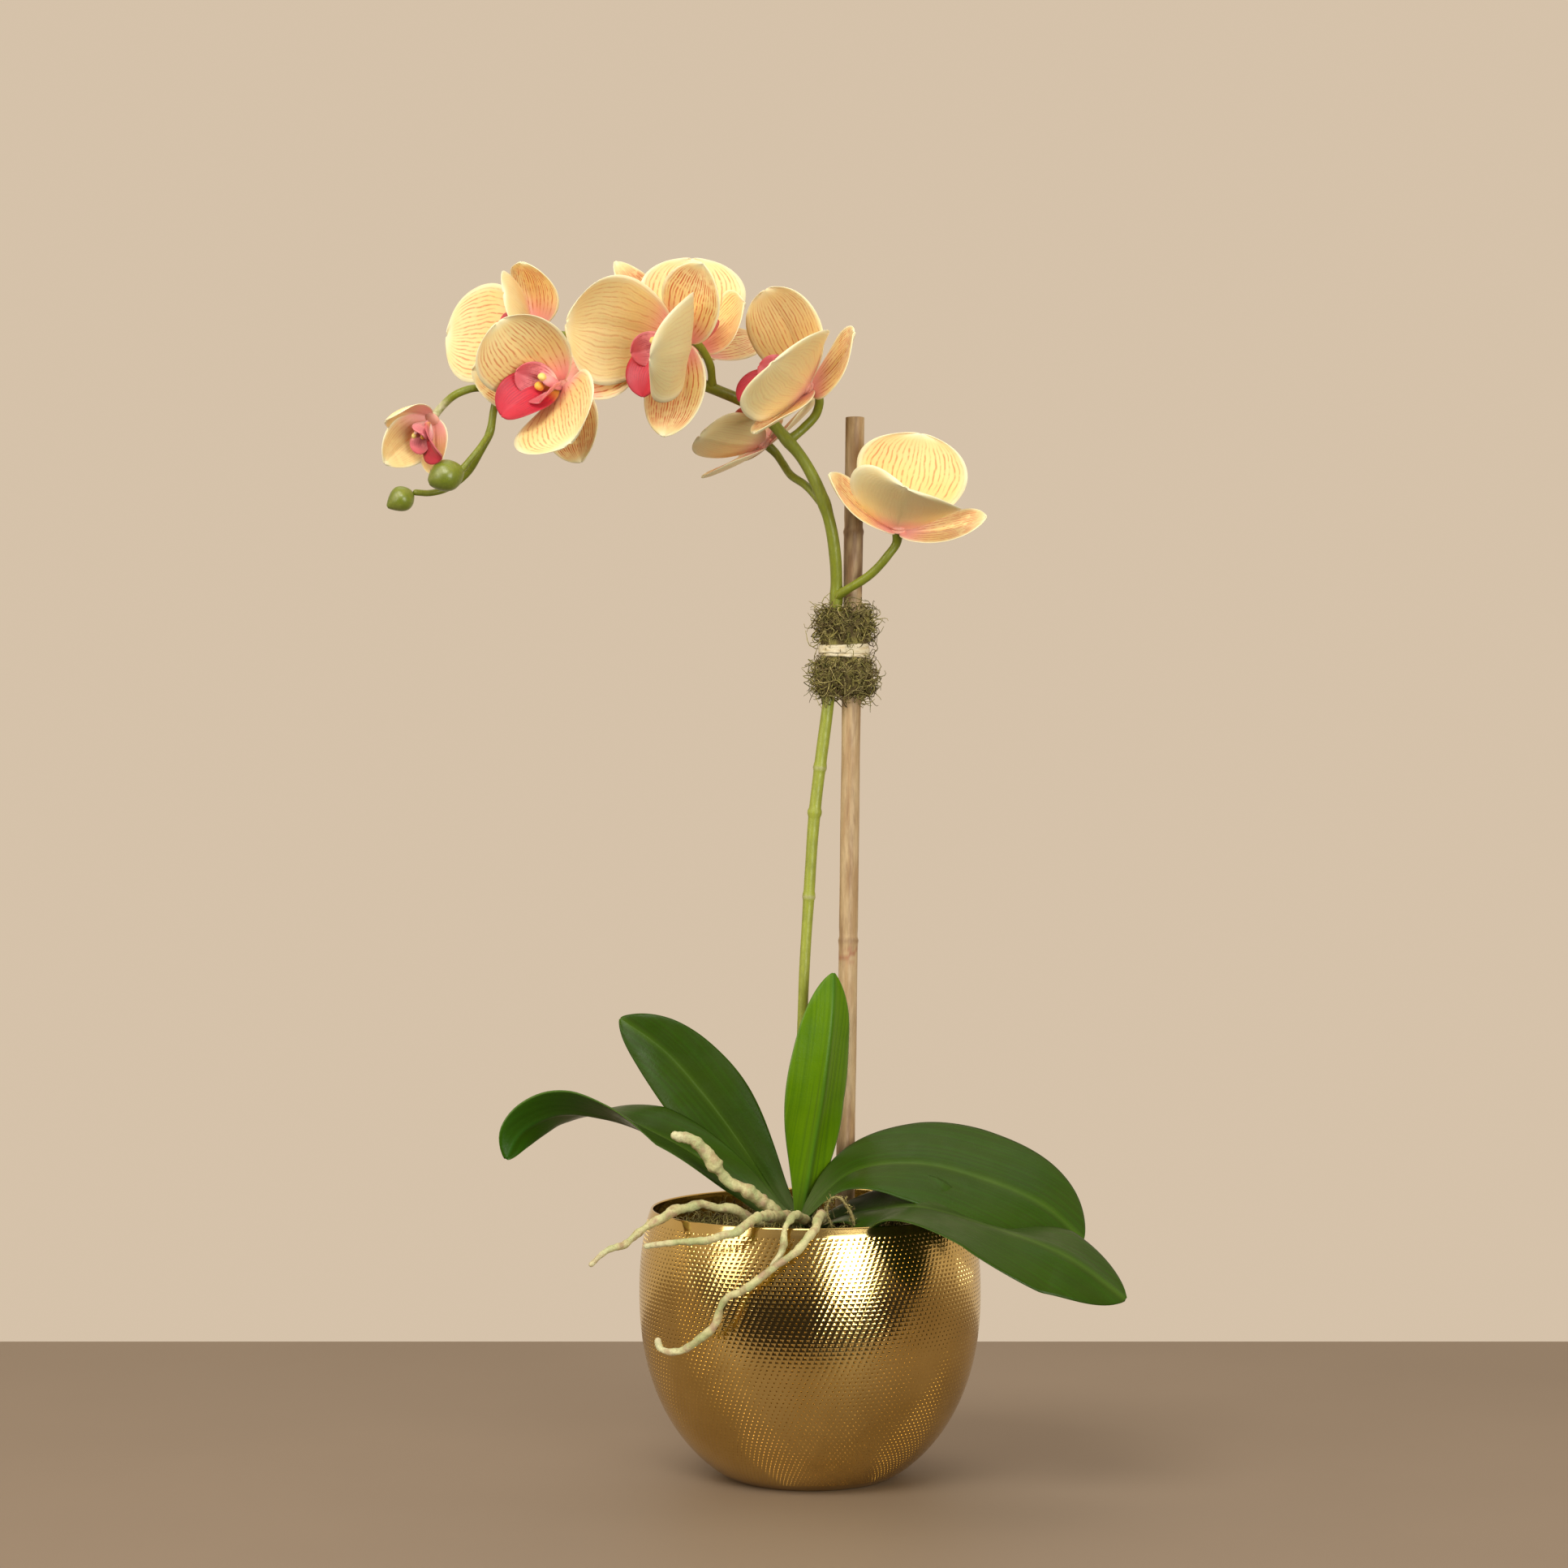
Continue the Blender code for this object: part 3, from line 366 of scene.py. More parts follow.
def tinted_finish(name, roughness, speckle, strength, size, fine, depth,
                  along=(1.0, 1.0, 1.0), **sockets):
    """Tint from the mesh, with specks of another colour and a fine bump. along stretches
    the pattern."""
    look = Finish(name, roughness, **sockets)
    grain = look.noise(size, 5.0, 0.62, look.stretch(along))
    spots = look.between(grain, 0.48, 0.66, 0.0, strength)
    ground = look.mix(spots, look.mark("tint", "Color"), speckle)
    tiny = look.noise(fine, 3.0, 0.6, look.stretch(along))
    shade = look.between(tiny, 0.35, 0.7, 0.0, 0.35)
    look.colour(look.mix(shade, ground, (0.55, 0.55, 0.5), "MULTIPLY"))
    look.bump(look.math("ADD", grain, look.math("MULTIPLY", tiny, 0.6)), depth, 0.7)
    look.rough(look.between(tiny, 0.3, 0.7, roughness - 0.08, roughness + 0.1))
    return look.material


def gold_finish():
    """Polished gold-toned metal: soft brushing round the bowl and faint cloudy wear."""
    look = Finish("polished gold metal", 0.2, metallic=1.0)
    brushed = look.noise(1.0, 3.0, 0.6, look.stretch((60.0, 60.0, 1400.0)))
    cloud = look.noise(28.0, 4.0, 0.55)
    tone = look.mix(look.between(cloud, 0.35, 0.7), (0.72, 0.52, 0.19), (0.62, 0.43, 0.14))
    look.colour(tone)
    smudge = look.between(cloud, 0.3, 0.75, 0.06, 0.12)
    look.rough(look.math("ADD", smudge, look.math("MULTIPLY", brushed, 0.06)))
    look.bump(look.noise(45.0, 2.0), 0.0002, 0.10)
    return look.material


def soil_finish():
    """Dark loose mix with paler bark crumbs."""
    look = Finish("potting mix", 0.95)
    crumbs = look.noise(260.0, 5.0, 0.7)
    look.colour(look.mix(look.between(crumbs, 0.4, 0.68), (0.022, 0.014, 0.008), (0.13, 0.085, 0.05)))
    look.bump(crumbs, 0.002)
    return look.material


PETAL = petal_finish("orchid petal", (0.66, 0.17, 0.045), 5.5)
LIP = petal_finish("orchid lip", (0.36, 0.010, 0.035), 5.0)
LEAF = leaf_finish()
STEM = tinted_finish("orchid stem", 0.42, (0.25, 0.27, 0.035), 0.35, 140.0, 900.0, 0.0003,
                     (1.0, 1.0, 0.3), Specular_IOR_Level=0.45)
BUD = tinted_finish("orchid bud", 0.34, (0.28, 0.30, 0.05), 0.35, 120.0, 800.0, 0.0002,
                    Coat_Weight=0.2, Coat_Roughness=0.3)
ROOT = tinted_finish("aerial root", 0.62, (0.36, 0.20, 0.10), 0.55, 190.0, 1200.0, 0.0006)
MOSS = tinted_finish("dry moss", 0.9, (0.10, 0.07, 0.02), 0.6, 420.0, 1500.0, 0.0008)
BAMBOO = tinted_finish("bamboo cane", 0.5, (0.22, 0.11, 0.045), 0.5, 260.0, 1500.0, 0.0004,
                       (1.0, 1.0, 0.12))
RAFFIA = tinted_finish("raffia", 0.6, (0.70, 0.55, 0.30), 0.35, 60.0, 700.0, 0.0003,
                       (1.0, 1.0, 18.0))
GOLD = gold_finish()
SOIL = soil_finish()

# ---------------------------------------------------------------- bowl
BELLY_HEIGHT, BELLY_SPREAD, BELLY_POWER = 0.081, 0.0896, 2.2
BOWL_RADIUS, BOWL_TOP, BOWL_WALL = 0.075, 0.1175, 0.0012
DIMPLE_COLUMNS, DIMPLE_ROWS = 171, 66
DIMPLE_WIDTH, DIMPLE_HEIGHT, DIMPLE_DEPTH = 0.22, 0.36, 0.00040


def belly_radius(height, inset=0.0):
    """Superellipse: R (1 - |z - z0| / H to the power p) to the power 1/p, less an inset."""
    share = np.abs((height - BELLY_HEIGHT) / (BELLY_SPREAD - inset))
    return (BOWL_RADIUS - inset) * (1 - share**BELLY_POWER) ** (1 / BELLY_POWER)


def bowl():
    """The wall is a lattice of cells, each row a third of a cell further round than the one
    below. In a cell, four quads lead from its corners to the rim of a four-sided pit, and
    four flat triangles meet at the pit's bottom. Rim, inner wall and foot are plain rings
    (r, z) turned about the axis on the lattice's own columns."""
    low, high = 0.0035, 0.1136
    heights = np.linspace(low, high, 600)
    radii = belly_radius(heights)
    walked = np.concatenate([[0], np.cumsum(np.hypot(np.diff(heights), np.diff(radii)))])
    n, m = DIMPLE_COLUMNS, DIMPLE_ROWS

    def surface(column, level, depth=0.0):
        """Point at a lattice place: column steps round, level steps of equal length up."""
        z = np.interp(level / m * walked[-1], walked, heights)
        r = belly_radius(z) - depth
        angle = column * 2 * np.pi / n
        return np.stack([r * np.cos(angle), r * np.sin(angle), z], -1)

    i, k = np.meshgrid(np.arange(n), np.arange(m + 1))
    corners = surface(i + k / 3, k * 1.0).reshape(-1, 3)
    i, k = np.meshgrid(np.arange(n), np.arange(m))
    centre, level = i + 0.5 + (k + 0.5) / 3, k + 0.5
    wide, tall = DIMPLE_WIDTH / 2, DIMPLE_HEIGHT / 2
    pit = [surface(centre + a * wide, level + b * tall)
           for a, b in ((-1, -1), (1, -1), (1, 1), (-1, 1))]
    pit.append(surface(centre, level, DIMPLE_DEPTH))
    pits = np.stack(pit, axis=2).reshape(-1, 3)
    here, after = k * n + i, k * n + (i + 1) % n
    c = [here, after, after + n, here + n]
    p = [len(corners) + here * 5 + j for j in range(5)]
    ring = [np.stack([c[j], c[(j + 1) % 4], p[(j + 1) % 4], p[j]], -1) for j in range(4)]
    quads = np.concatenate([q.reshape(-1, 4) for q in ring])
    tris = np.concatenate([np.stack([p[j], p[(j + 1) % 4], p[4]], -1).reshape(-1, 3) for j in range(4)])
    pitted = len(tris)

    def turned(profile, shift):
        """Points of rings (r, z), their columns shifted round by a lattice distance."""
        angle = (np.arange(n) + shift) * 2 * np.pi / n
        r, z = np.array(profile).T
        ring_points = [np.outer(r, np.cos(angle)), np.outer(r, np.sin(angle)), np.outer(z, np.ones(n))]
        return np.stack(ring_points, -1).reshape(-1, 3)

    lip = np.radians(np.linspace(0, 180, 7))
    middle = belly_radius(BOWL_TOP) - BOWL_WALL / 2
    half_wall = BOWL_WALL / 2
    rim = [(middle + half_wall * np.cos(a), BOWL_TOP - half_wall + half_wall * np.sin(a)) for a in lip]
    inner = [(belly_radius(z, BOWL_WALL), z) for z in np.linspace(BOWL_TOP - 0.003, 0.0025, 14)]
    upper = turned([(belly_radius(0.1150), 0.1150), *rim, *inner, (0.02, 0.0014)], m / 3)
    lower = turned([(belly_radius(0.0015), 0.0016), (belly_radius(0.0) - 0.0004, 0.0004),
                    (belly_radius(0.0) - 0.0012, 0.0), (0.03, 0.0), (0.028, 0.0006), (0.01, 0.0006)], 0)
    places = np.concatenate([corners, pits, upper, lower])
    first_upper = len(corners) + len(pits)
    first_lower = first_upper + len(upper)
    turn = np.arange(n)
    following = (turn + 1) % n

    def band(below, above):
        return np.stack([below + turn, below + following, above + following, above + turn], -1)

    chains = [m * n] + [first_upper + j * n for j in range(len(upper) // n)]
    belt = [band(a, b) for a, b in zip(chains, chains[1:])]
    chains = [0] + [first_lower + j * n for j in range(len(lower) // n)]
    belt += [band(b, a) for a, b in zip(chains, chains[1:])]
    quads = np.concatenate([quads, *belt])
    poles = np.array([[0, 0, 0.0014], [0, 0, 0.0006]])
    top, bottom = len(places), len(places) + 1
    last_upper, last_lower = first_lower - n, len(places) - n
    fans = [np.stack([last_upper + turn, last_upper + following, np.full(n, top)], -1),
            np.stack([last_lower + following, last_lower + turn, np.full(n, bottom)], -1)]
    tris = np.concatenate([tris, *fans])
    flat = np.zeros(len(quads) + len(tris), bool)
    flat[len(quads):len(quads) + pitted] = True
    shape = part(np.concatenate([places, poles]), quads, tris)
    make("gold_bowl", shape, GOLD, ["pot"], flat)


# ---------------------------------------------------------------- moss and mix
MOSS_COLOURS = np.array([(0.22, 0.20, 0.045), (0.33, 0.28, 0.075),
                         (0.13, 0.09, 0.03), (0.42, 0.35, 0.13)])


def strands(roots, ways, lengths, thickness, seed, curl=0.5, segments=6):
    """Bent hairs: path = root + way * L t + L curl (sin and cos waves with drawn phases),
    carried with a three-sided ring that narrows to the tip."""
    draw = np.random.default_rng(seed)
    n = len(roots)
    t = np.linspace(0, 1, segments)[None, :, None]
    first = unit(np.cross(ways, draw.normal(size=(n, 3))))
    second = np.cross(ways, first)
    phase = draw.uniform(0, 2 * np.pi, (2, n, 1, 1))
    pace = draw.uniform(2.0, 6.0, (2, n, 1, 1))
    reach = (lengths * curl)[:, None, None]
    path = (roots[:, None] + ways[:, None] * lengths[:, None, None] * t
            + first[:, None] * reach * (np.sin(pace[0] * t + phase[0]) - np.sin(phase[0]))
            + second[:, None] * reach * (np.cos(pace[1] * t + phase[1]) - np.cos(phase[1])))
    ahead = unit(np.gradient(path, axis=1))
    side = unit(np.cross(ahead, draw.normal(size=(n, 1, 3))))
    other = np.cross(ahead, side)
    turn = np.radians([90, 210, 330])
    width = (thickness * np.linspace(1, 0.35, segments))[None, :, None, None]
    rings = path[:, :, None] + width * (side[:, :, None] * np.cos(turn)[:, None]
                                        + other[:, :, None] * np.sin(turn)[:, None])
    j = np.arange(3)
    k = (j + 1) % 3
    row = np.arange(segments - 1)[:, None] * 3
    quads = np.stack([row + j, row + k, row + 3 + k, row + 3 + j], -1).reshape(-1, 4)
    size = segments * 3
    ends = np.array([[2, 1, 0], [size - 3, size - 2, size - 1]])
    first_point = (np.arange(n) * size)[:, None, None]
    tint = MOSS_COLOURS[draw.integers(0, len(MOSS_COLOURS), n)] * draw.uniform(0.7, 1.35, (n, 1))
    return part(rings.reshape(-1, 3), (quads + first_point).reshape(-1, 4),
                (ends + first_point).reshape(-1, 3), tint=np.repeat(tint, size, axis=0))


def moss_height(x, y):
    """Low mound: falls with the square of the distance from the crown, with lumps."""
    r = np.hypot(x, y) / 0.069
    lumps = ripple(np.stack([x, y, 0 * x], -1), 0.016, 3) * 0.0016
    fine = ripple(np.stack([x, y, 0 * x], -1), 0.005, 4) * 0.0007
    return 0.1078 - 0.0035 * r**2 + (lumps + fine) * (1.15 - r)


def moss_bed():
    """A mound from the wall to the axis, its underside flat, under a mat of loose strands."""
    sides = 96
    turn = np.linspace(0, 2 * np.pi, sides, endpoint=False)
    outer = belly_radius(0.1045) - 0.0016
    share = np.linspace(1, 0.02, 36)
    x, y = np.outer(share * outer, np.cos(turn)), np.outer(share * outer, np.sin(turn))
    top = np.stack([x, y, moss_height(x, y)], -1)
    under = np.stack([x[[0]], y[[0]], np.full((1, sides), 0.0946)], -1)
    middle = np.stack([x[[-1]], y[[-1]], np.full((1, sides), 0.0946)], -1)
    rings = np.concatenate([middle, under, top])
    tint = blend(MOSS_COLOURS[2], MOSS_COLOURS[1], step(-0.5, 0.8, ripple(rings, 0.009, 8)))
    ground = shell(rings, tint=tint)
    draw = np.random.default_rng(11)
    n = 2600
    angle, far = draw.uniform(0, 2 * np.pi, n), 0.0675 * draw.uniform(0, 1, n) ** 0.55
    x, y = far * np.cos(angle), far * np.sin(angle)
    roots = np.stack([x, y, moss_height(x, y) - 0.0004], -1)
    ways = unit(np.stack([draw.normal(size=n), draw.normal(size=n), draw.uniform(0.05, 0.9, n)], -1))
    ways[:, :2] -= unit(roots[:, :2]) * step(0.055, 0.067, far)[:, None] * 1.2
    mat = strands(roots, unit(ways), draw.uniform(0.003, 0.0085, n), 0.00034, 12, 0.5)
    make("moss_ground", joined([ground, mat]), MOSS, ["moss_bed"])


def moss_tendril():
    """One curled stem of moss that loops up over the bed, with short side shoots."""
    points = [(0.0115, -0.0400, 0.1065), (0.0085, -0.0430, 0.1160), (0.0070, -0.0440, 0.1225),
              (0.0092, -0.0450, 0.1272), (0.0130, -0.0450, 0.1268), (0.0150, -0.0447, 0.1240),
              (0.0172, -0.0443, 0.1205), (0.0186, -0.0438, 0.1150), (0.0190, -0.0434, 0.1065)]
    path = through(points, np.linspace(0, 1, 60))
    radii = np.full(60, 0.00062) * (1 + 0.3 * ripple(path, 0.003, 21))
    rings = tube(path, radii, 7)
    stem = shell(rings, tint=np.broadcast_to(MOSS_COLOURS[3] * 0.9, rings.shape).copy())
    draw = np.random.default_rng(22)
    n = 170
    roots = path[draw.integers(2, 58, n)]
    ways = unit(draw.normal(size=(n, 3)))
    shoots = strands(roots, ways, draw.uniform(0.0012, 0.0032, n), 0.00024, 23, 0.3, 4)
    make("moss_curl", joined([stem, shoots]), MOSS, ["moss_tendril"])


# ---------------------------------------------------------------- stake and its tie
STAKE_FOOT, STAKE_HEAD, STAKE_RADIUS = (0.0143, 0.0085, 0.020), (0.0200, 0.0085, 0.4655), 0.0044
STAKE_JOINTS = (0.112, 0.234, 0.415)
# Rings of the hollow cut top: share of the radius, height over the end.
STAKE_TOP = ((0.93, 0.0003), (0.86, 0.00035), (0.42, 0.0001), (0.36, -0.0006), (0.33, -0.006))
TAN, DARK_TAN, BURNT = (0.56, 0.40, 0.21), (0.44, 0.28, 0.13), (0.17, 0.085, 0.038)


def stake():
    """A cane: radius with a low wave and a ridge at each joint; its cut top is hollow."""
    foot, head = np.array(STAKE_FOOT), np.array(STAKE_HEAD)
    s = np.linspace(0, 1, 240)
    path = foot + (head - foot) * s[:, None]
    z = path[:, 2]
    size = STAKE_RADIUS * (0.955 + 0.02 * ripple(path, 0.06, 31))
    for joint in STAKE_JOINTS:
        size = size * (1 + 0.085 * np.exp(-(((z - joint) / 0.0011) ** 2))
                       - 0.05 * np.exp(-(((z - joint - 0.0030) / 0.0016) ** 2)))
    turn = np.linspace(0, 2 * np.pi, 28, endpoint=False)
    ring = np.stack([np.cos(turn), np.sin(turn), 0 * turn], -1)
    flutes = 1 + 0.012 * ripple(ring * 0.0044 + np.array([0, 0, 0.01]), 0.0024, 32)
    body = path[:, None] + ring * size[:, None, None] * flutes[:, None]
    rim = [head + ring * STAKE_RADIUS * share + np.array([0, 0, rise]) for share, rise in STAKE_TOP]
    rings = np.concatenate([body, rim])
    height = rings[..., 2]
    streaks = ripple(rings * (1, 1, 0.1), 0.0035, 33)
    tint = blend(TAN, DARK_TAN, step(-0.6, 0.9, streaks))
    burnt = step(0.384, 0.394, height + 0.004 * ripple(rings, 0.006, 34))
    burnt = burnt * (1 - step(0.432, 0.446, height))
    tint = blend(tint, BURNT, burnt * (0.62 + 0.3 * ripple(rings * (1, 1, 0.35), 0.004, 35)))
    blush = np.exp(-(((height - 0.2285) / 0.0035) ** 2)) * step(-0.3, 0.7, ripple(rings, 0.004, 36))
    tint = blend(tint, (0.36, 0.11, 0.05), 0.8 * blush)
    for joint in STAKE_JOINTS:
        tint = blend(tint, (0.26, 0.15, 0.07), 0.7 * np.exp(-(((height - joint) / 0.0008) ** 2)))
    # Painted shade: the two rings that run down inside the hollow top are painted near black, as the
    # shade in the hollow
    tint[-2:] = (0.10, 0.06, 0.03)
    make("bamboo_cane", shell(rings, tint=tint), BAMBOO, ["bamboo_stake"])


TIE_HEIGHT, TIE_LEAN = 0.3605, 0.035
# Each turn of the ribbon: height, tilt, and the angle where it starts.
RAFFIA_TURNS = ((0.3638, 0.0005, 0.3), (0.3615, -0.0006, 2.1), (0.3627, 0.0003, 4.4))
STRAW, DARK_STRAW = (0.86, 0.76, 0.52), (0.74, 0.60, 0.35)


def round_tie(turn, height, wide, deep):
    """Point on the oval round stake and spike at an angle and a height."""
    x = 0.0152 + TIE_LEAN * (height - TIE_HEIGHT) + wide * np.cos(turn)
    return np.stack([x, 0.0083 + deep * np.sin(turn), height + 0 * turn], -1)


def moss_wrap():
    """Two shaggy collars above and below a narrow waist: an oval ring whose half width
    follows a profile in z with lumps, buried in loose strands that mostly run round it."""
    turn = np.linspace(0, 2 * np.pi, 72, endpoint=False)
    z = np.array([0.3425, 0.3432, 0.3455, 0.3490, 0.3525, 0.3560, 0.3590, 0.3660, 0.3690, 0.3715,
                  0.3745, 0.3775, 0.3792, 0.3797])
    wide = np.array([0.0082, 0.0094, 0.0108, 0.0117, 0.0115, 0.0107, 0.0101, 0.0101, 0.0103, 0.0105,
                     0.0103, 0.0098, 0.0092, 0.0076])
    angle, height = np.meshgrid(turn, z)
    width = np.repeat(wide[:, None], 72, axis=1)
    rings = round_tie(angle, height, width, width - 0.0028)
    from_waist = np.abs(height - TIE_HEIGHT - 0.002)
    lump = 1 + 0.10 * ripple(rings, 0.006, 41) * step(0.0005, 0.004, from_waist)
    rings = round_tie(angle, height, width * lump, (width - 0.0028) * lump)
    tint = blend(MOSS_COLOURS[2], MOSS_COLOURS[1], step(-0.5, 0.8, ripple(rings, 0.005, 42)))
    body = shell(rings, tint=tint)
    draw = np.random.default_rng(43)
    n = 1500
    angle = draw.uniform(0, 2 * np.pi, n)
    lower = draw.uniform(size=n) < 0.55
    height = np.where(lower, draw.uniform(0.3425, 0.3585, n), draw.uniform(0.3668, 0.3800, n))
    width = np.interp(height, z, wide) * draw.uniform(0.93, 1.03, n)
    roots = round_tie(angle, height, width, width - 0.0028)
    outward = unit(round_tie(angle, height, width + 0.001, width - 0.0018) - roots)
    around = np.cross(outward, [0, 0, 1.0])
    ways = (around * draw.choice([-1, 1], (n, 1)) * draw.uniform(0.3, 1.1, (n, 1))
            + outward * draw.uniform(0.05, 0.65, (n, 1)) + draw.normal(size=(n, 3)) * (0.1, 0.1, 0.42))
    mat = strands(roots, unit(ways), draw.uniform(0.0018, 0.0052, n), 0.00034, 44, 0.62, 7)
    n = 150
    angle = draw.uniform(0, 2 * np.pi, n)
    ends = draw.uniform(size=n) < 0.5
    height = np.where(ends, draw.uniform(0.3425, 0.3500, n), draw.uniform(0.3750, 0.3805, n))
    width = np.interp(height, z, wide) * 0.95
    roots = round_tie(angle, height, width, width - 0.0028)
    outward = unit(round_tie(angle, height, width + 0.001, width - 0.0018) - roots)
    droop = np.where(ends, -0.25, 0.5)[:, None] * (0, 0, 1)
    ways = unit(outward + draw.normal(size=(n, 3)) * (0.4, 0.4, 0.7) + droop)
    loose = strands(roots, ways, draw.uniform(0.0030, 0.0075, n), 0.00032, 45, 0.5, 8)
    make("moss_collar", joined([body, mat, loose]), MOSS, ["moss_wrap"])


def raffia_tie():
    """Flat ribbon wound round the waist: each turn is an oval strip a little further out
    and tilted, and overlaps its own start."""
    strips = []
    for number, (height, tilt, start) in enumerate(RAFFIA_TURNS):
        s = np.linspace(0, 1, 90)
        angle = start + s * 2 * np.pi * 1.06
        grow = 0.0103 + 0.00035 * number + 0.0004 * s
        middle = round_tie(angle, height + tilt * np.sin(angle + start), grow, grow - 0.0027)
        half = 0.0017 * (1 + 0.12 * np.sin(9 * s + number))
        v = np.linspace(-1, 1, 9)
        grid = middle[:, None] + np.array([0, 0, 1.0]) * (half[:, None] * v)[:, :, None]
        grid += ripple(grid, 0.004, 51 + number)[..., None] * np.array([0.0001, 0.0001, 0.00012])
        fibres = ripple(grid * (0.2, 0.2, 1), 0.0012, 55)
        tint = blend(STRAW, DARK_STRAW, step(0.1, 0.9, fibres))
        strips.append(blade(grid, 0.0004, dict(tint=tint), dict(tint=tint)))
    make("raffia_winding", joined(strips), RAFFIA, ["raffia_tie"])


# ---------------------------------------------------------------- spike, pedicels, buds
SPIKE = [
    (-0.0035, 0.0062, 0.1120), (-0.0040, 0.0075, 0.1400), (-0.0036, 0.0085, 0.1800),
    (-0.0026, 0.0085, 0.2165), (-0.0004, 0.0085, 0.2540), (0.0022, 0.0085, 0.2915),
    (0.0050, 0.0085, 0.3150), (0.0080, 0.0085, 0.3380), (0.0104, 0.0080, 0.3630),
    (0.0117, 0.0060, 0.3850), (0.0113, 0.0020, 0.4020), (0.0086, -0.0010, 0.4190),
    (0.0025, -0.0020, 0.4360), (-0.0040, -0.0015, 0.4475), (-0.0110, 0.0000, 0.4560),
    (-0.0180, 0.0015, 0.4640), (-0.0262, 0.0030, 0.4705), (-0.0400, 0.0050, 0.4770),
    (-0.0565, 0.0070, 0.4835), (-0.0743, 0.0080, 0.4910), (-0.0920, 0.0080, 0.4985),
    (-0.1100, 0.0060, 0.5015), (-0.1240, 0.0030, 0.4970), (-0.1335, 0.0000, 0.4830),
    (-0.1385, -0.0030, 0.4690), (-0.1405, -0.0045, 0.4575), (-0.1450, -0.0025, 0.4490),
    (-0.1520, 0.0050, 0.4400), (-0.1600, 0.0080, 0.4345), (-0.1680, 0.0050, 0.4320),
    (-0.1735, 0.0015, 0.4320),
]
SPIKE_RADII = (0.0026, 0.0023, 0.0023, 0.0024, 0.0026, 0.0027, 0.0027, 0.0026, 0.0026, 0.0025,
               0.0023, 0.0019, 0.0016, 0.0014)
PEDICELS = {
    "pedicel_far_right": dict(radius=0.0020, end="flower_far_right", path=[
        (0.0117, 0.0050, 0.3865), (0.0170, 0.0000, 0.3895), (0.0265, -0.0040, 0.3955),
        (0.0340, -0.0075, 0.4035)]),
    "pedicel_low": dict(radius=0.0019, end="flower_low", path=[
        (0.0060, -0.0013, 0.4265), (-0.0020, 0.0050, 0.4355), (-0.0085, 0.0125, 0.4408),
        (-0.0120, 0.0190, 0.4465)]),
    "pedicel_right": dict(radius=0.0021, end="flower_right", path=[
        (-0.0095, 0.0000, 0.4545), (-0.0030, 0.0010, 0.4600), (0.0030, 0.0005, 0.4670)]),
    "pedicel_centre": dict(radius=0.0019, end="flower_centre", path=[
        (-0.0430, 0.0055, 0.4785), (-0.0440, -0.0010, 0.4880)]),
    "pedicel_centre_back": dict(radius=0.0018, end="flower_centre_back", path=[
        (-0.0620, 0.0073, 0.4860), (-0.0590, 0.0170, 0.4865)]),
    "pedicel_left": dict(radius=0.0018, end="flower_left", path=[
        (-0.0900, 0.0080, 0.4980), (-0.0945, 0.0040, 0.4880)]),
    "pedicel_left_back": dict(radius=0.0018, end="flower_left_back", path=[
        (-0.1030, 0.0070, 0.5010), (-0.1090, 0.0200, 0.5020)]),
    "pedicel_tip": dict(radius=0.0018, end="flower_tip", path=[
        (-0.1370, -0.0022, 0.4740), (-0.1440, -0.0060, 0.4770), (-0.1540, -0.0080, 0.4745)]),
    "pedicel_bud": dict(radius=0.0014, end="bud_large", path=[
        (-0.1405, -0.0045, 0.4575), (-0.1440, -0.0100, 0.4510)]),
}
BUDS = {
    "bud_large": dict(title="large_bud", near=(-0.1510, -0.0130, 0.4410),
                      along=(-0.92, -0.10, -0.38), length=0.0168, radius=0.0073, point=0.12),
    "bud_end": dict(title="end_bud", near=(-0.1745, 0.0010, 0.4320),
                    along=(-0.86, -0.10, -0.50), length=0.0135, radius=0.0064, point=0.45),
}
# Rings on the lower stem: height and rise; and where side stems leave, as x and z.
STEM_JOINTS = ((0.254, 0.20), (0.291, 0.28), (0.311, 0.20))
STEM_FORKS = ((0.0117, 0.3865), (0.0060, 0.4265), (-0.0095, 0.4545),
              (-0.1370, 0.4740), (-0.1405, 0.4575))
LOWER_GREEN, UPPER_GREEN = (0.34, 0.38, 0.045), (0.21, 0.24, 0.016)


def stem_tint(rings, seed):
    """Yellow green low down, olive above 0.36 m, with soft patches."""
    colour = blend(LOWER_GREEN, UPPER_GREEN, step(0.30, 0.40, rings[..., 2]))
    return blend(colour, (0.26, 0.29, 0.035), 0.5 * step(-0.2, 0.9, ripple(rings, 0.012, seed)))


def spike():
    """The stem through its points, with a ridge at each joint, a swelling at each fork and
    a pale scar under two of the joints."""
    path = through(SPIKE, np.linspace(0, 1, 420))
    share = np.linspace(0, 1, 420)
    radii = np.interp(share, np.linspace(0, 1, len(SPIKE_RADII)), SPIKE_RADII)
    radii = radii * (1 + 0.03 * ripple(path, 0.02, 61))
    z = path[:, 2]
    early = share < 0.5
    for joint, rise in STEM_JOINTS:
        radii = radii * (1 + early * rise * np.exp(-(((z - joint) / 0.0012) ** 2)))
    for fork in STEM_FORKS:
        near = np.hypot(path[:, 0] - fork[0], path[:, 2] - fork[1])
        radii = radii * (1 + 0.16 * np.exp(-((near / 0.0035) ** 2)))
    rings = tube(path, radii, 20)
    tint = stem_tint(rings, 62)
    for joint in (0.2535, 0.3105):
        scar = 0.8 * np.exp(-(((rings[..., 2] - joint) / 0.0007) ** 2)) * (rings[..., 0] < 0.02)
        tint = blend(tint, (0.46, 0.44, 0.20), scar)
    make("spike_stem", shell(rings, tint=tint), STEM, ["flower_spike"])


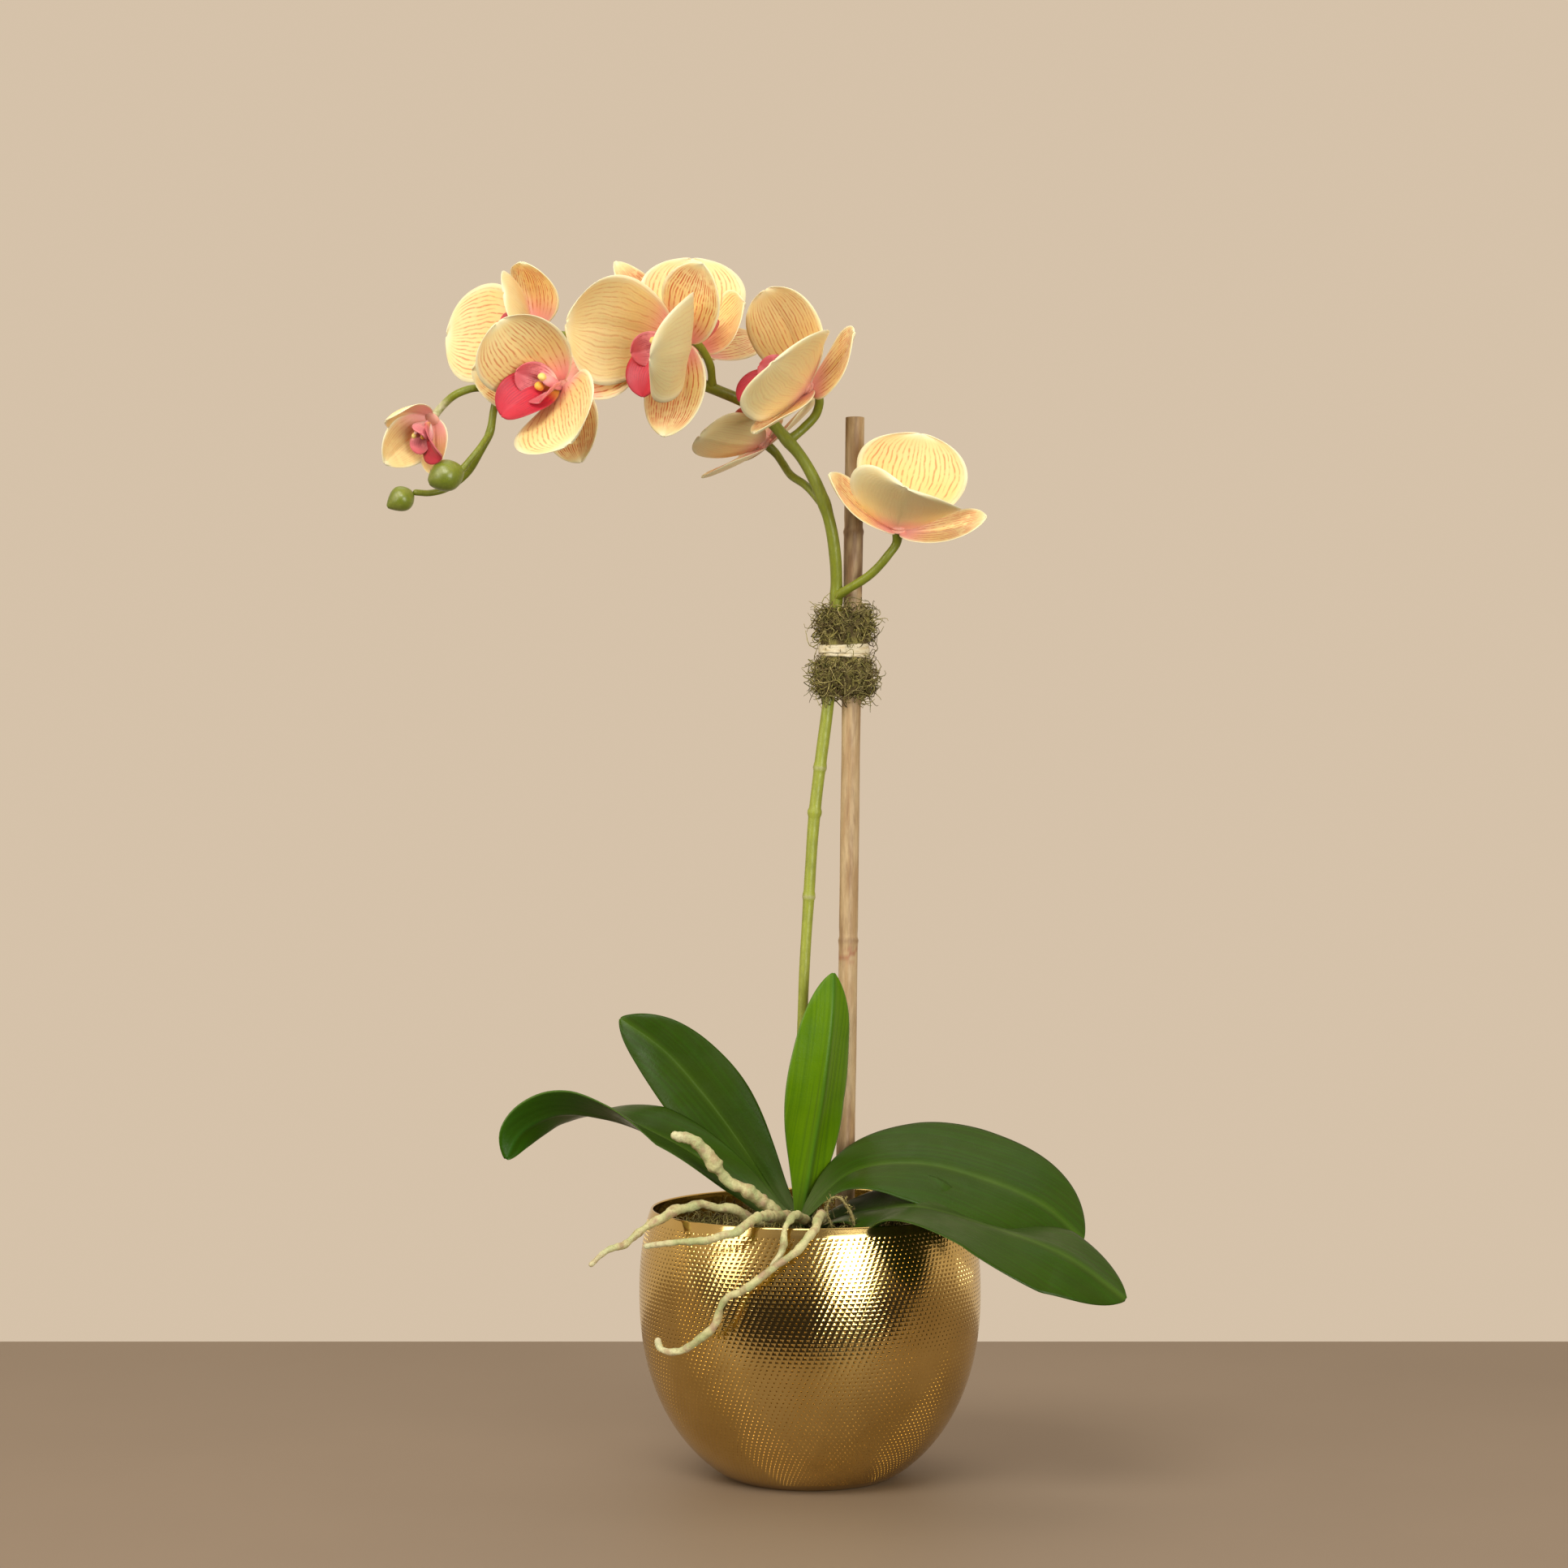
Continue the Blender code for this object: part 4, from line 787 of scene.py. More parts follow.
def pedicels():
    """Each stem swells where it leaves the spike and where it meets its bloom's back."""
    for name, stem in PEDICELS.items():
        if stem["end"] in BUDS:
            bud = BUDS[stem["end"]]
            tail = [np.array(bud["near"]) + unit(np.array(bud["along"])) * 0.001]
        else:
            flower = FLOWERS[stem["end"]]
            hub = np.array(flower["hub"])
            tail = [hub - unit(np.array(flower["face"])) * 0.0045, hub]
        path = through([*stem["path"], *tail], np.linspace(0, 1, 70))
        share = np.linspace(0, 1, 70)
        swell = 1 + 0.22 * np.exp(-((share / 0.10) ** 2)) + 0.18 * np.exp(-(((1 - share) / 0.10) ** 2))
        radii = stem["radius"] * 0.95 * swell * (1 + 0.03 * ripple(path, 0.01, 63))
        rings = tube(path, radii, 16)
        tint = stem_tint(rings, 64)
        if name == "pedicel_tip":
            pale = stretched(step(0.60, 0.80, share))[:, None] * np.ones(16)
            tint = blend(tint, (0.62, 0.58, 0.36), pale * (0.65 + 0.3 * ripple(rings, 0.003, 65)))
        make(name.replace("pedicel", "bloom_stem"), shell(rings, tint=tint), STEM, [name])


def buds():
    """Egg turned about its axis: radius R sin(pi u)^0.62 (1 - p u^2), nipped in along the
    three seams where the sepals meet."""
    for name, bud in BUDS.items():
        u = np.linspace(0, 1, 44)[1:-1]
        turn = np.linspace(0, 2 * np.pi, 48, endpoint=False)
        radius = bud["radius"] * np.sin(np.pi * u) ** 0.62 * (1 - bud["point"] * u**2)
        seam = 1 - 0.05 * np.abs(np.cos(1.5 * turn)) ** 14 * np.sin(np.pi * u)[:, None] ** 0.5
        along = unit(np.array(bud["along"]))
        side = unit(np.cross(along, [0, 1, 0.2]))
        other = np.cross(along, side)
        across = np.cos(turn)[:, None] * side + np.sin(turn)[:, None] * other
        middle = np.array(bud["near"]) + (u * bud["length"])[:, None, None] * along
        rings = middle + (radius[:, None] * seam)[:, :, None] * across
        ripe = step(0.2, 0.9, u)[:, None] * np.ones(48)
        colour = blend((0.20, 0.245, 0.022), (0.15, 0.19, 0.016), ripe)
        tint = blend(colour, (0.30, 0.31, 0.06), 0.5 * (1 - (seam - 0.95) / 0.05))
        make(bud["title"], shell(rings[:, ::-1], tint=tint[:, ::-1]), BUD, [name])


# ---------------------------------------------------------------- leaves
LEAVES = {
    "leaf_left_low": dict(
        spine=[(-0.0040, 0.002, 0.1085), (-0.0150, 0.000, 0.1135), (-0.034, -0.002, 0.1285),
               (-0.062, -0.004, 0.1470),
               (-0.090, -0.006, 0.1580), (-0.114, -0.008, 0.1590), (-0.128, -0.011, 0.1500)],
        tip=(-0.1325, -0.014, 0.1400), side=(0.0, 1.0, 0.0), width=0.042,
        roll=(38, 38, 22, -30, -62), fold=(40, 30, 22, 12, 8), bright=0.10, grey=0.5),
    "leaf_left_high": dict(
        spine=[(-0.0045, 0.0030, 0.1080), (-0.0110, 0.0055, 0.1160), (-0.026, 0.014, 0.1370),
               (-0.047, 0.022, 0.1645),
               (-0.066, 0.026, 0.1850)],
        tip=(-0.0850, 0.030, 0.1985), side=(0.2, 1.0, 0.2), width=0.040,
        roll=(62, 62, 62, 62, 70), fold=(40, 34, 24, 18, 16), bright=0.12, grey=1.0),
    "leaf_centre": dict(
        spine=[(-0.0038, -0.0005, 0.1080), (-0.0030, -0.0030, 0.1155), (0.0006, -0.0085, 0.1400),
               (0.0060, -0.0150, 0.1750),
               (0.0095, -0.0140, 0.2050)],
        tip=(0.0103, -0.0110, 0.2212), side=(-1.0, 0.0, 0.0), width=0.035,
        roll=(-8, -8, -24, -28, -28), fold=(40, 30, 34, 34, 28), bright=0.85, grey=0.25),
    "leaf_right_high": dict(
        spine=[(-0.0030, -0.0090, 0.1090), (0.0010, -0.0165, 0.1180), (0.018, -0.0195, 0.1345),
               (0.045, -0.0215, 0.1390),
               (0.075, -0.024, 0.1325), (0.102, -0.028, 0.1205)],
        tip=(0.1175, -0.031, 0.1070), side=(0.0, -1.0, 0.0), width=0.068,
        roll=(-10, -16, -28, -36, -42, -44), fold=(30, 14, 4, 0, -4, -4), bright=0.05, grey=0.45),
    "leaf_right_low": dict(
        spine=[(0.0020, -0.0060, 0.1080), (0.0115, -0.0125, 0.1135), (0.030, -0.0320, 0.1202),
               (0.048, -0.0550, 0.1238),
               (0.076, -0.0690, 0.1175), (0.106, -0.0760, 0.1065)],
        tip=(0.1310, -0.0780, 0.0890), side=(0.3, -1.0, 0.0), width=0.066,
        roll=(-4, -4, -2, -10, -38, -46), fold=(30, 20, -4, -16, -14, -8), bright=0.0, grey=0.3),
}
DEEP_GREEN, FRESH_GREEN = (0.013, 0.052, 0.002), (0.120, 0.240, 0.002)


def leaf_width(u):
    """Half width as a share of the widest: a quarter-sine rise to a strap, then a short
    rounded point (1 - u^5)^0.72."""
    body = 0.20 + 0.80 * np.sin(np.pi / 2 * np.clip(u / 0.64, 0, 1)) ** 1.5
    return body * (1 - u**5) ** 0.72


def leaf_grid(leaf, rows, columns):
    """Midrib curve plus, across it, v half(u) along a direction folded up by an angle that
    eases towards the edge; a groove along the midrib and a slow wave in the edge."""
    u = (1 - (1 - np.linspace(0, 1, rows)) ** 1.25) * 0.9985
    v = np.linspace(-1, 1, columns)[None, :, None]
    spine = through([*leaf["spine"], leaf["tip"]], u)
    ahead = unit(np.gradient(spine, u, axis=0))
    side = np.array(leaf["side"], float)
    side = unit(side - (ahead @ side)[:, None] * ahead)
    up = np.cross(side, ahead)
    turn = np.radians(np.interp(u, np.linspace(0, 1, len(leaf["roll"])), leaf["roll"]))[:, None]
    side, up = side * np.cos(turn) + up * np.sin(turn), up * np.cos(turn) - side * np.sin(turn)
    fold = np.radians(np.interp(u, np.linspace(0, 1, len(leaf["fold"])), leaf["fold"]))
    half = (leaf["width"] / 2 * leaf_width(u))[:, None, None]
    soft = np.sqrt(v**2 + 0.004) - 0.063
    lean = fold[:, None, None] * (1.0 - 0.25 * np.abs(v))
    across = v * np.cos(lean) * half
    lift = soft * np.sin(lean) * half
    wave = 0.0007 * np.sin(11 * u + 3 * leaf["width"] * 100)[:, None, None]
    wave = wave * np.sign(v) * np.abs(v) ** 3
    groove = -0.0006 * np.exp(-((v / 0.07) ** 2)) * np.sin(np.pi * np.clip(u, 0, 1))[:, None, None]
    grid = spine[:, None, :] + across * side[:, None, :] + (lift + wave + groove) * up[:, None, :]
    length = np.linalg.norm(np.diff(spine, axis=0), axis=1).sum()
    return grid, u[:, None] * length * np.ones((1, columns)), (v * half)[..., 0], u[:, None], v[..., 0]


def leaves():
    """Upper side: deep green, brighter in the centre leaf, greyer by the midrib, with a
    pale rim; underside paler and duller."""
    for name, leaf in LEAVES.items():
        grid, along, across, u, v = leaf_grid(leaf, 72, 33)
        deep = blend(DEEP_GREEN, FRESH_GREEN, leaf["bright"] * np.ones_like(across))
        base = 1 - step(0.0, 0.25, u)
        upper = blend(deep, (0.12, 0.20, 0.03), 0.5 * base * np.ones_like(across))
        rim = step(0.93, 0.995, np.abs(v)) * np.ones_like(u)
        upper = blend(upper, (0.16, 0.26, 0.06), 0.7 * rim)
        upper = blend(upper, (0.035, 0.13, 0.015), 0.5 * np.exp(-((across / 0.0007) ** 2)))
        under = blend((0.030, 0.060, 0.004), (0.06, 0.11, 0.01), np.exp(-((across / 0.0016) ** 2)))
        under = blend(under, (0.20, 0.24, 0.10), 0.6 * base * np.ones_like(across))
        band = np.exp(-((v / 0.42) ** 2)) * (1 - step(0.55, 0.95, u)) * leaf["grey"]
        marks = dict(along=along, across=across)
        front = dict(tint=upper, streak=band, **marks)
        back = dict(tint=under, streak=0.1 * band, **marks)
        make(name.replace("leaf", "strap_leaf"), blade(grid, 0.0019, front, back), LEAF, [name])


def crown():
    """The short stem in the moss: a dome with the ribs of old leaf bases."""
    turn = np.linspace(0, 2 * np.pi, 40, endpoint=False)
    profile = np.array([(0.0060, 0.0960), (0.0092, 0.0990), (0.0094, 0.1050), (0.0088, 0.1095),
                        (0.0072, 0.1122), (0.0045, 0.1136), (0.0015, 0.1140)])
    rib = 1 + 0.06 * np.cos(3 * turn + 0.6) + 0.03 * np.cos(9 * turn)
    r = profile[:, 0][:, None] * rib
    rings = np.stack([-0.004 + r * np.cos(turn), r * np.sin(turn), profile[:, 1][:, None] + 0 * r], -1)
    tint = blend((0.14, 0.19, 0.04), (0.20, 0.15, 0.06), step(-0.4, 0.8, ripple(rings, 0.006, 71)))
    make("crown_heart", shell(rings, tint=tint), STEM, ["crown"])


# ---------------------------------------------------------------- aerial roots
ROOTS = {
    "root_thick": dict(
        points=[(-0.0060, -0.0060, 0.1080), (-0.0102, -0.0115, 0.1125), (-0.0180, -0.0170, 0.1200),
                (-0.0260, -0.0205, 0.1265),
                (-0.0355, -0.0235, 0.1310), (-0.0400, -0.0250, 0.1375), (-0.0460, -0.0265, 0.1455),
                (-0.0525, -0.0275, 0.1500), (-0.0580, -0.0280, 0.1520)],
        radii=(0.0024, 0.0026, 0.0029, 0.0028, 0.0024, 0.0028, 0.0029, 0.0026, 0.0020)),
    "root_rim_far": dict(
        points=[(-0.0080, -0.0040, 0.1080), (-0.0132, -0.0072, 0.1112), (-0.0200, -0.0150, 0.1125),
                (-0.0300, -0.0240, 0.1180),
                (-0.0450, -0.0320, 0.1225), (-0.0570, -0.0400, 0.1215), (-0.0680, -0.0470, 0.1165),
                (-0.0790, -0.0530, 0.1085), (-0.0870, -0.0570, 0.1055), (-0.0930, -0.0600, 0.1015)],
        radii=(0.0021, 0.0022, 0.0021, 0.0020, 0.0017, 0.0010)),
    "root_rim_near": dict(
        points=[(-0.0050, -0.0070, 0.1080), (-0.0062, -0.0125, 0.1118), (-0.0100, -0.0300, 0.1165),
                (-0.0160, -0.0500, 0.1200),
                (-0.0230, -0.0660, 0.1210), (-0.0320, -0.0750, 0.1165), (-0.0440, -0.0770, 0.1140),
                (-0.0560, -0.0750, 0.1125), (-0.0690, -0.0690, 0.1098)],
        radii=(0.0023, 0.0024, 0.0023, 0.0021, 0.0017, 0.0010)),
    "root_front_short": dict(
        points=[(-0.0025, -0.0070, 0.1080), (-0.0014, -0.0122, 0.1115), (-0.0035, -0.0350, 0.1170),
                (-0.0080, -0.0640, 0.1215),
                (-0.0110, -0.0760, 0.1180), (-0.0128, -0.0780, 0.1095), (-0.0165, -0.0785, 0.1020)],
        radii=(0.0019, 0.0019, 0.0017, 0.0012)),
    "root_front_long": dict(
        points=[(0.0010, -0.0070, 0.1080), (0.0032, -0.0120, 0.1120), (0.0050, -0.0330, 0.1165),
                (0.0035, -0.0630, 0.1215),
                (0.0000, -0.0785, 0.1170), (-0.0060, -0.0820, 0.1100), (-0.0168, -0.0830, 0.1020),
                (-0.0286, -0.0825, 0.0935), (-0.0364, -0.0805, 0.0882), (-0.0390, -0.0790, 0.0825),
                (-0.0420, -0.0780, 0.0768), (-0.0470, -0.0765, 0.0715), (-0.0531, -0.0745, 0.0678),
                (-0.0592, -0.0725, 0.0660), (-0.0630, -0.0710, 0.0682), (-0.0640, -0.0705, 0.0712)],
        radii=(0.0020, 0.0020, 0.0019, 0.0017, 0.0015, 0.0015, 0.0014)),
}


def roots():
    """Knobby tubes: the radius carries short knuckles along the root and small warts."""
    for number, (name, root) in enumerate(ROOTS.items()):
        count = 150
        path = through(root["points"], np.linspace(0, 1, count))
        sway = [ripple(path, 0.014, 81 + number * 3 + k) for k in range(3)]
        path = path + 0.0005 * np.stack(sway, -1)
        share = np.linspace(0, 1, count)
        radii = np.interp(share, np.linspace(0, 1, len(root["radii"])), root["radii"])
        knuckles = 0.16 * ripple(path, 0.0075, 90 + number)
        radii = radii * (1 + knuckles + 0.06 * ripple(path, 0.003, 95 + number))
        rings = tube(path, radii, 16)
        wart = 1 + 0.10 * ripple(rings, 0.0026, 99)
        middle = rings.mean(axis=1, keepdims=True)
        rings = middle + (rings - middle) * wart[:, :, None]
        greening = step(-0.4, 0.7, ripple(rings, 0.012, 101 + number))
        bruises = 0.75 * step(0.45, 1.1, ripple(rings, 0.007, 107 + number))
        fresh_tip = 0.6 * stretched(step(0.85, 1.0, share))[:, None] * np.ones(16)
        tint = blend((0.60, 0.56, 0.27), (0.44, 0.46, 0.20), greening)
        tint = blend(tint, (0.42, 0.26, 0.16), bruises)
        tint = blend(tint, (0.72, 0.68, 0.42), fresh_tip)
        make(name.replace("root", "aerial_root"), shell(rings, tint=tint), ROOT, [name])


# ---------------------------------------------------------------- blooms
# hub: the back of the flower. face: where it looks. up: towards its upper sepal.
# Each lobe is placed in the flower's own frame: heading in degrees (0 right, 90 up, as a
# viewer of its face sees it), length and width in metres, then in degrees the rise of its
# base towards the viewer, the further curl by its tip, the cupping of its two halves and
# the twist by its tip. veins: how strongly its veins show.
SEPAL_LOBE = dict(length=0.040, width=0.029, rise=4, curl=8, cup=18, twist=0,
                  grow=0.62, round=0.62, veins=1.0)
PETAL_LOBE = dict(length=0.042, width=0.047, rise=10, curl=16, cup=20, twist=0,
                  grow=0.80, round=0.50, veins=0.75)
LIP_LOBE = dict(twist=0, grow=0.9, round=0.5, veins=0.6)
CREAM, YELLOW, PALE = (0.92, 0.77, 0.38), (0.91, 0.68, 0.26), (0.94, 0.87, 0.56)
PEACH, PINK = (0.93, 0.57, 0.32), (0.93, 0.40, 0.42)
CRIMSON, DEEP = (0.60, 0.020, 0.045), (0.34, 0.006, 0.020)
GOLDEN, WHITE = (0.90, 0.48, 0.06), (0.93, 0.80, 0.66)
# The two beads at a lip's heart: height in its face, stand-off, size, colour, lump seed.
CALLUS = (-0.0022, 0.0115, (0.0022, 0.0018, 0.0024), GOLDEN, 5)
ANTHER_CAP = (0.0030, 0.0142, (0.0019, 0.0017, 0.0020), (0.92, 0.72, 0.22), 6)
HUB_RADIUS, LIP_HUB_RADIUS = 0.0032, 0.0017
PETAL_STEP, LIP_STEP = 0.0022, 0.0042

FLOWERS = {
    "flower_left": dict(
        hub=(-0.1072, -0.0120, 0.4776), face=(-0.56, -0.83, -0.03), up=(0.59, -0.43, 0.68),
        sepals=[dict(heading=80, rise=-38, curl=-4, cup=10, twist=8, length=0.035),
                dict(heading=215, rise=38, curl=-8), dict(heading=334, rise=2, curl=6, length=0.035)],
        petals=[dict(heading=158, rise=60, curl=-26, cup=48, twist=22, length=0.041, width=0.045),
                dict(heading=354, rise=46, curl=-30, cup=32, twist=-12)]),
    "flower_left_back": dict(
        hub=(-0.1230, 0.0275, 0.5080), face=(-0.68, -0.70, 0.22), up=(0.25, 0.06, 0.97),
        sepals=[dict(heading=84, rise=14, curl=60, cup=10, twist=6, length=0.032, width=0.031),
                dict(heading=240, rise=-14), dict(heading=300, rise=-10)],
        petals=[dict(heading=196, rise=16, curl=12, cup=6, twist=8, width=0.049),
                dict(heading=34, rise=58, curl=26, cup=14, length=0.030, width=0.036)],
        lip_scale=0.6),
    "flower_centre": dict(
        hub=(-0.0557, -0.0165, 0.4961), face=(-0.63, -0.73, -0.24), up=(0.01, -0.32, 0.95),
        sepals=[dict(heading=65, rise=10, curl=-4, cup=20, twist=14),
                dict(heading=281, rise=20, curl=22, cup=8, twist=-20, length=0.043),
                dict(heading=200, rise=8, curl=6, cup=8)],
        petals=[dict(heading=162, rise=34, curl=42, cup=36, twist=10,
                     length=0.051, width=0.051, veins=0.35),
                dict(heading=4, rise=26, curl=100, cup=22, twist=-34, length=0.048, width=0.050)]),
    "flower_centre_back": dict(
        hub=(-0.0520, 0.0200, 0.4960), face=(0.10, -0.60, 0.78), up=(0.20, 0.75, 0.60),
        sepals=[dict(heading=150, rise=24, curl=4, length=0.055, width=0.021),
                dict(heading=52, rise=-8, curl=6), dict(heading=252, rise=30, length=0.020)],
        petals=[dict(heading=108, rise=34, curl=16),
                dict(heading=18, rise=34, curl=40, length=0.032, width=0.040)]),
    "flower_right": dict(
        hub=(0.0000, -0.0060, 0.4761), face=(-0.77, -0.48, 0.42), up=(0.56, -0.19, 0.81),
        sepals=[dict(heading=57, rise=0, curl=30, cup=8),
                dict(heading=300, rise=28, curl=6, cup=12, length=0.035),
                dict(heading=194, rise=6, curl=0, cup=10, width=0.019)],
        petals=[dict(heading=129, rise=35, curl=30, cup=10, length=0.046),
                dict(heading=8, rise=44, curl=17, cup=10, twist=-24, width=0.050)]),
    "flower_low": dict(
        hub=(-0.0185, 0.0210, 0.4545), face=(-0.72, -0.10, 0.68), up=(0.62, 0.30, 0.72),
        sepals=[dict(heading=66, rise=-6, length=0.034), dict(heading=158, rise=8, width=0.026),
                dict(heading=246, rise=18, length=0.032, width=0.026)],
        petals=[dict(heading=292, rise=38, length=0.033, width=0.038), dict(heading=128, rise=14)],
        lip_scale=0.9),
    "flower_far_right": dict(
        hub=(0.0382, -0.0099, 0.4135), face=(0.06, -0.40, 0.91), up=(0.84, 0.51, 0.17),
        sepals=[dict(heading=44, rise=8, curl=24, cup=12, twist=14),
                dict(heading=236, rise=26, curl=30, cup=26, twist=-12),
                dict(heading=140, rise=8, curl=12)],
        petals=[dict(heading=118, rise=62, curl=18, cup=24, twist=18, width=0.050),
                dict(heading=328, rise=46, curl=-6, cup=32, twist=-26, width=0.050, veins=0.25)],
        lip_scale=0.62),
    "flower_tip": dict(
        hub=(-0.1650, -0.0070, 0.4640), face=(-0.40, -0.60, -0.69), up=(-0.90, 0.12, 0.42),
        sepals=[dict(heading=72, rise=24, curl=62, cup=42, length=0.0240, width=0.0200, veins=0.1),
                dict(heading=144, rise=46, curl=22, cup=34, length=0.0290, width=0.0210, veins=0.3),
                dict(heading=219, rise=40, curl=22, cup=34, length=0.0250, width=0.0160, veins=0.3)],
        petals=[], lip_scale=0.68),
}


def lobe_grid(lobe, rows, columns, hub_radius, seed=0):
    """One lobe in its flower's frame: x right, y up, z out of the face. The midline leaves
    the hub at the rise angle and curls on by u^1.4; across it the sheet is an arc of the
    cup angle, of half width w u^g (1-u)^e; it turns about the midline by the twist, and a
    slow wave runs round its edge."""
    fine = np.linspace(0, 1, 161)
    heading = np.radians(lobe["heading"])
    out = np.array([np.cos(heading), np.sin(heading), 0.0])
    left = np.array([-np.sin(heading), np.cos(heading), 0.0])
    tilt = np.radians(lobe["rise"] + lobe["curl"] * fine**1.4)[:, None]
    ahead = np.cos(tilt) * out + np.sin(tilt) * np.array([0.0, 0.0, 1.0])
    walked = np.concatenate([[[0, 0, 0]], np.cumsum((ahead[1:] + ahead[:-1]) / 2, axis=0)])
    spine = hub_radius * out * 0.3 + walked * lobe["length"] / 160
    u = np.sin(np.pi / 2 * np.linspace(0, 1, rows)) ** 1.1 * 0.999
    spine = np.stack([np.interp(u, fine, spine[:, k]) for k in range(3)], axis=1)
    ahead = np.stack([np.interp(u, fine, ahead[:, k]) for k in range(3)], axis=1)
    side = np.broadcast_to(left, ahead.shape)
    normal = np.cross(ahead, side)
    turn = np.radians(lobe["twist"] * u)[:, None]
    side, normal = (side * np.cos(turn) + normal * np.sin(turn),
                    normal * np.cos(turn) - side * np.sin(turn))
    grow, end = lobe["grow"], lobe["round"]
    widest = (grow / (grow + end)) ** grow * (end / (grow + end)) ** end
    body = u**grow * (1 - u) ** end / widest
    half = (lobe["width"] / 2 * body + 0.55 * hub_radius * (1 - u))[:, None]
    v = np.linspace(-1, 1, columns)[None, :]
    bend = np.radians(lobe["cup"]) * np.sqrt(np.clip(u, 0.02, 1))[:, None] * 1.0001 + 1e-4
    across = np.sin(bend * v) / bend * half
    lift = (1 - np.cos(bend * v)) / bend * half
    edge = np.maximum(np.abs(v) ** 3, u[:, None] ** 6)
    wave = lobe["width"] * 0.022 * edge * np.sin(7.5 * u[:, None] + 2.2 * v + seed)
    wave = wave * np.sin(2.6 * v + seed * 2)
    crease = -0.0006 * np.exp(-((v / 0.10) ** 2)) * np.sin(np.pi * u)[:, None]
    lift = lift + wave + crease
    grid = spine[:, None] + across[..., None] * side[:, None] + lift[..., None] * normal[:, None]
    return grid, u[:, None] * np.ones_like(v), v * np.ones((rows, 1)), half * np.ones_like(v)


def flower_axes(flower):
    """Columns: the flower's right, up and face directions."""
    face = unit(np.array(flower["face"], float))
    up = np.array(flower["up"], float)
    up = unit(up - (up @ face) * face)
    return np.stack([np.cross(up, face), up, face], axis=1)


def petal_part(flower, lobe, common, layer, rows=40, columns=25, seed=0, kind="petal"):
    """A lobe as a thin sheet with its colours: pink at the base, then peach, yellow and a
    pale rim; the back is paler and hardly veined."""
    lobe = {**common, **lobe}
    height, hub_radius = layer
    grid, u, v, half = lobe_grid(lobe, rows, columns, hub_radius, seed)
    far = u * lobe["length"] / 0.042
    edge = np.maximum(np.abs(v) ** 2.6, u**5)
    if kind == "petal":
        front = blend(PEACH, YELLOW, step(0.10, 0.50, far))
        front = blend(front, CREAM, step(0.40, 0.85, far) * 0.7)
        front = blend(front, PINK, 0.75 * (1 - step(0.06, 0.36, far)))
        front = blend(front, PALE, step(0.62, 1.0, edge))
        back = blend(CREAM, PALE, step(0.5, 1.0, edge))
        back = blend(back, PINK, 0.55 * (1 - step(0.02, 0.28, far)))
        vein = lobe["veins"] * step(0.10, 0.26, far) * (1 - step(0.78, 0.97, u))
        vein = vein * (1 - step(0.80, 0.98, np.abs(v)))
        veins_back = 0.18 * vein
    else:
        front = lobe["colours"](u, v)
        back = blend(front, PINK, 0.35 * np.ones_like(u))
        vein = lobe["veins"] * step(0.15, 0.4, u) * (1 - step(0.7, 0.95, u))
        veins_back = 0.4 * vein
    grid = (grid + np.array([0, 0, height])) @ flower_axes(flower).T + np.array(flower["hub"])
    shared = dict(fan=v, half=half, along=u)
    thick = 0.0009 if kind == "petal" else 0.0010
    return blade(grid, thick, dict(tint=front, vein=vein, **shared),
                 dict(tint=back, vein=veins_back, **shared))


def ball(flower, centre, size, colour, seed=0):
    """A lumpy ellipsoid in the flower's frame: centre plus size times the sphere."""
    polar = np.linspace(0.12, np.pi - 0.12, 14)[:, None]
    turn = np.linspace(0, 2 * np.pi, 20, endpoint=False)[None, :]
    wide = np.sin(polar)
    sphere = np.stack([wide * np.cos(turn), wide * np.sin(turn), -np.cos(polar) + 0 * turn], -1)
    sphere = sphere * (1 + 0.05 * ripple(sphere, 1.1, seed))[..., None]
    rings = (sphere * np.array(size) + np.array(centre)) @ flower_axes(flower).T
    rings = rings + np.array(flower["hub"])
    flat = np.zeros(rings.shape[:2])
    tint = np.broadcast_to(np.array(colour), rings.shape).copy()
    return shell(rings, tint=tint, vein=flat, fan=flat, half=flat + 0.002, along=flat)


def lip_lobes(size):
    """Middle lobe, two upright side lobes, and the hooded column over them. Each colour
    runs with u from base to tip and v from edge to edge."""
    def middle(u, v):
        colour = blend(GOLDEN, CRIMSON, step(0.10, 0.34, u))
        return blend(colour, DEEP, 0.6 * step(0.5, 1.0, np.abs(v)) * step(0.3, 0.8, u))

    def wing(u, v):
        return blend(blend(WHITE, PINK, step(0.1, 0.5, u)), CRIMSON, 0.75 * step(0.45, 0.95, u))

    def hood(u, v):
        return blend(PINK, WHITE, 0.55 * step(0.4, 1.0, u))

    lobes = [
        dict(heading=270, rise=74, curl=-66, cup=46, length=0.0310, width=0.0235,
             grow=0.85, round=0.60, colours=middle),
        *[dict(heading=heading, rise=72, curl=-22, cup=30, length=0.0210, width=0.0150,
               colours=wing) for heading in (200, 340)],
        dict(heading=90, rise=70, curl=24, cup=86, length=0.0150, width=0.0085,
             grow=0.3, round=0.3, veins=0.0, colours=hood),
    ]
    return [{**lobe, "length": lobe["length"] * size, "width": lobe["width"] * size} for lobe in lobes]


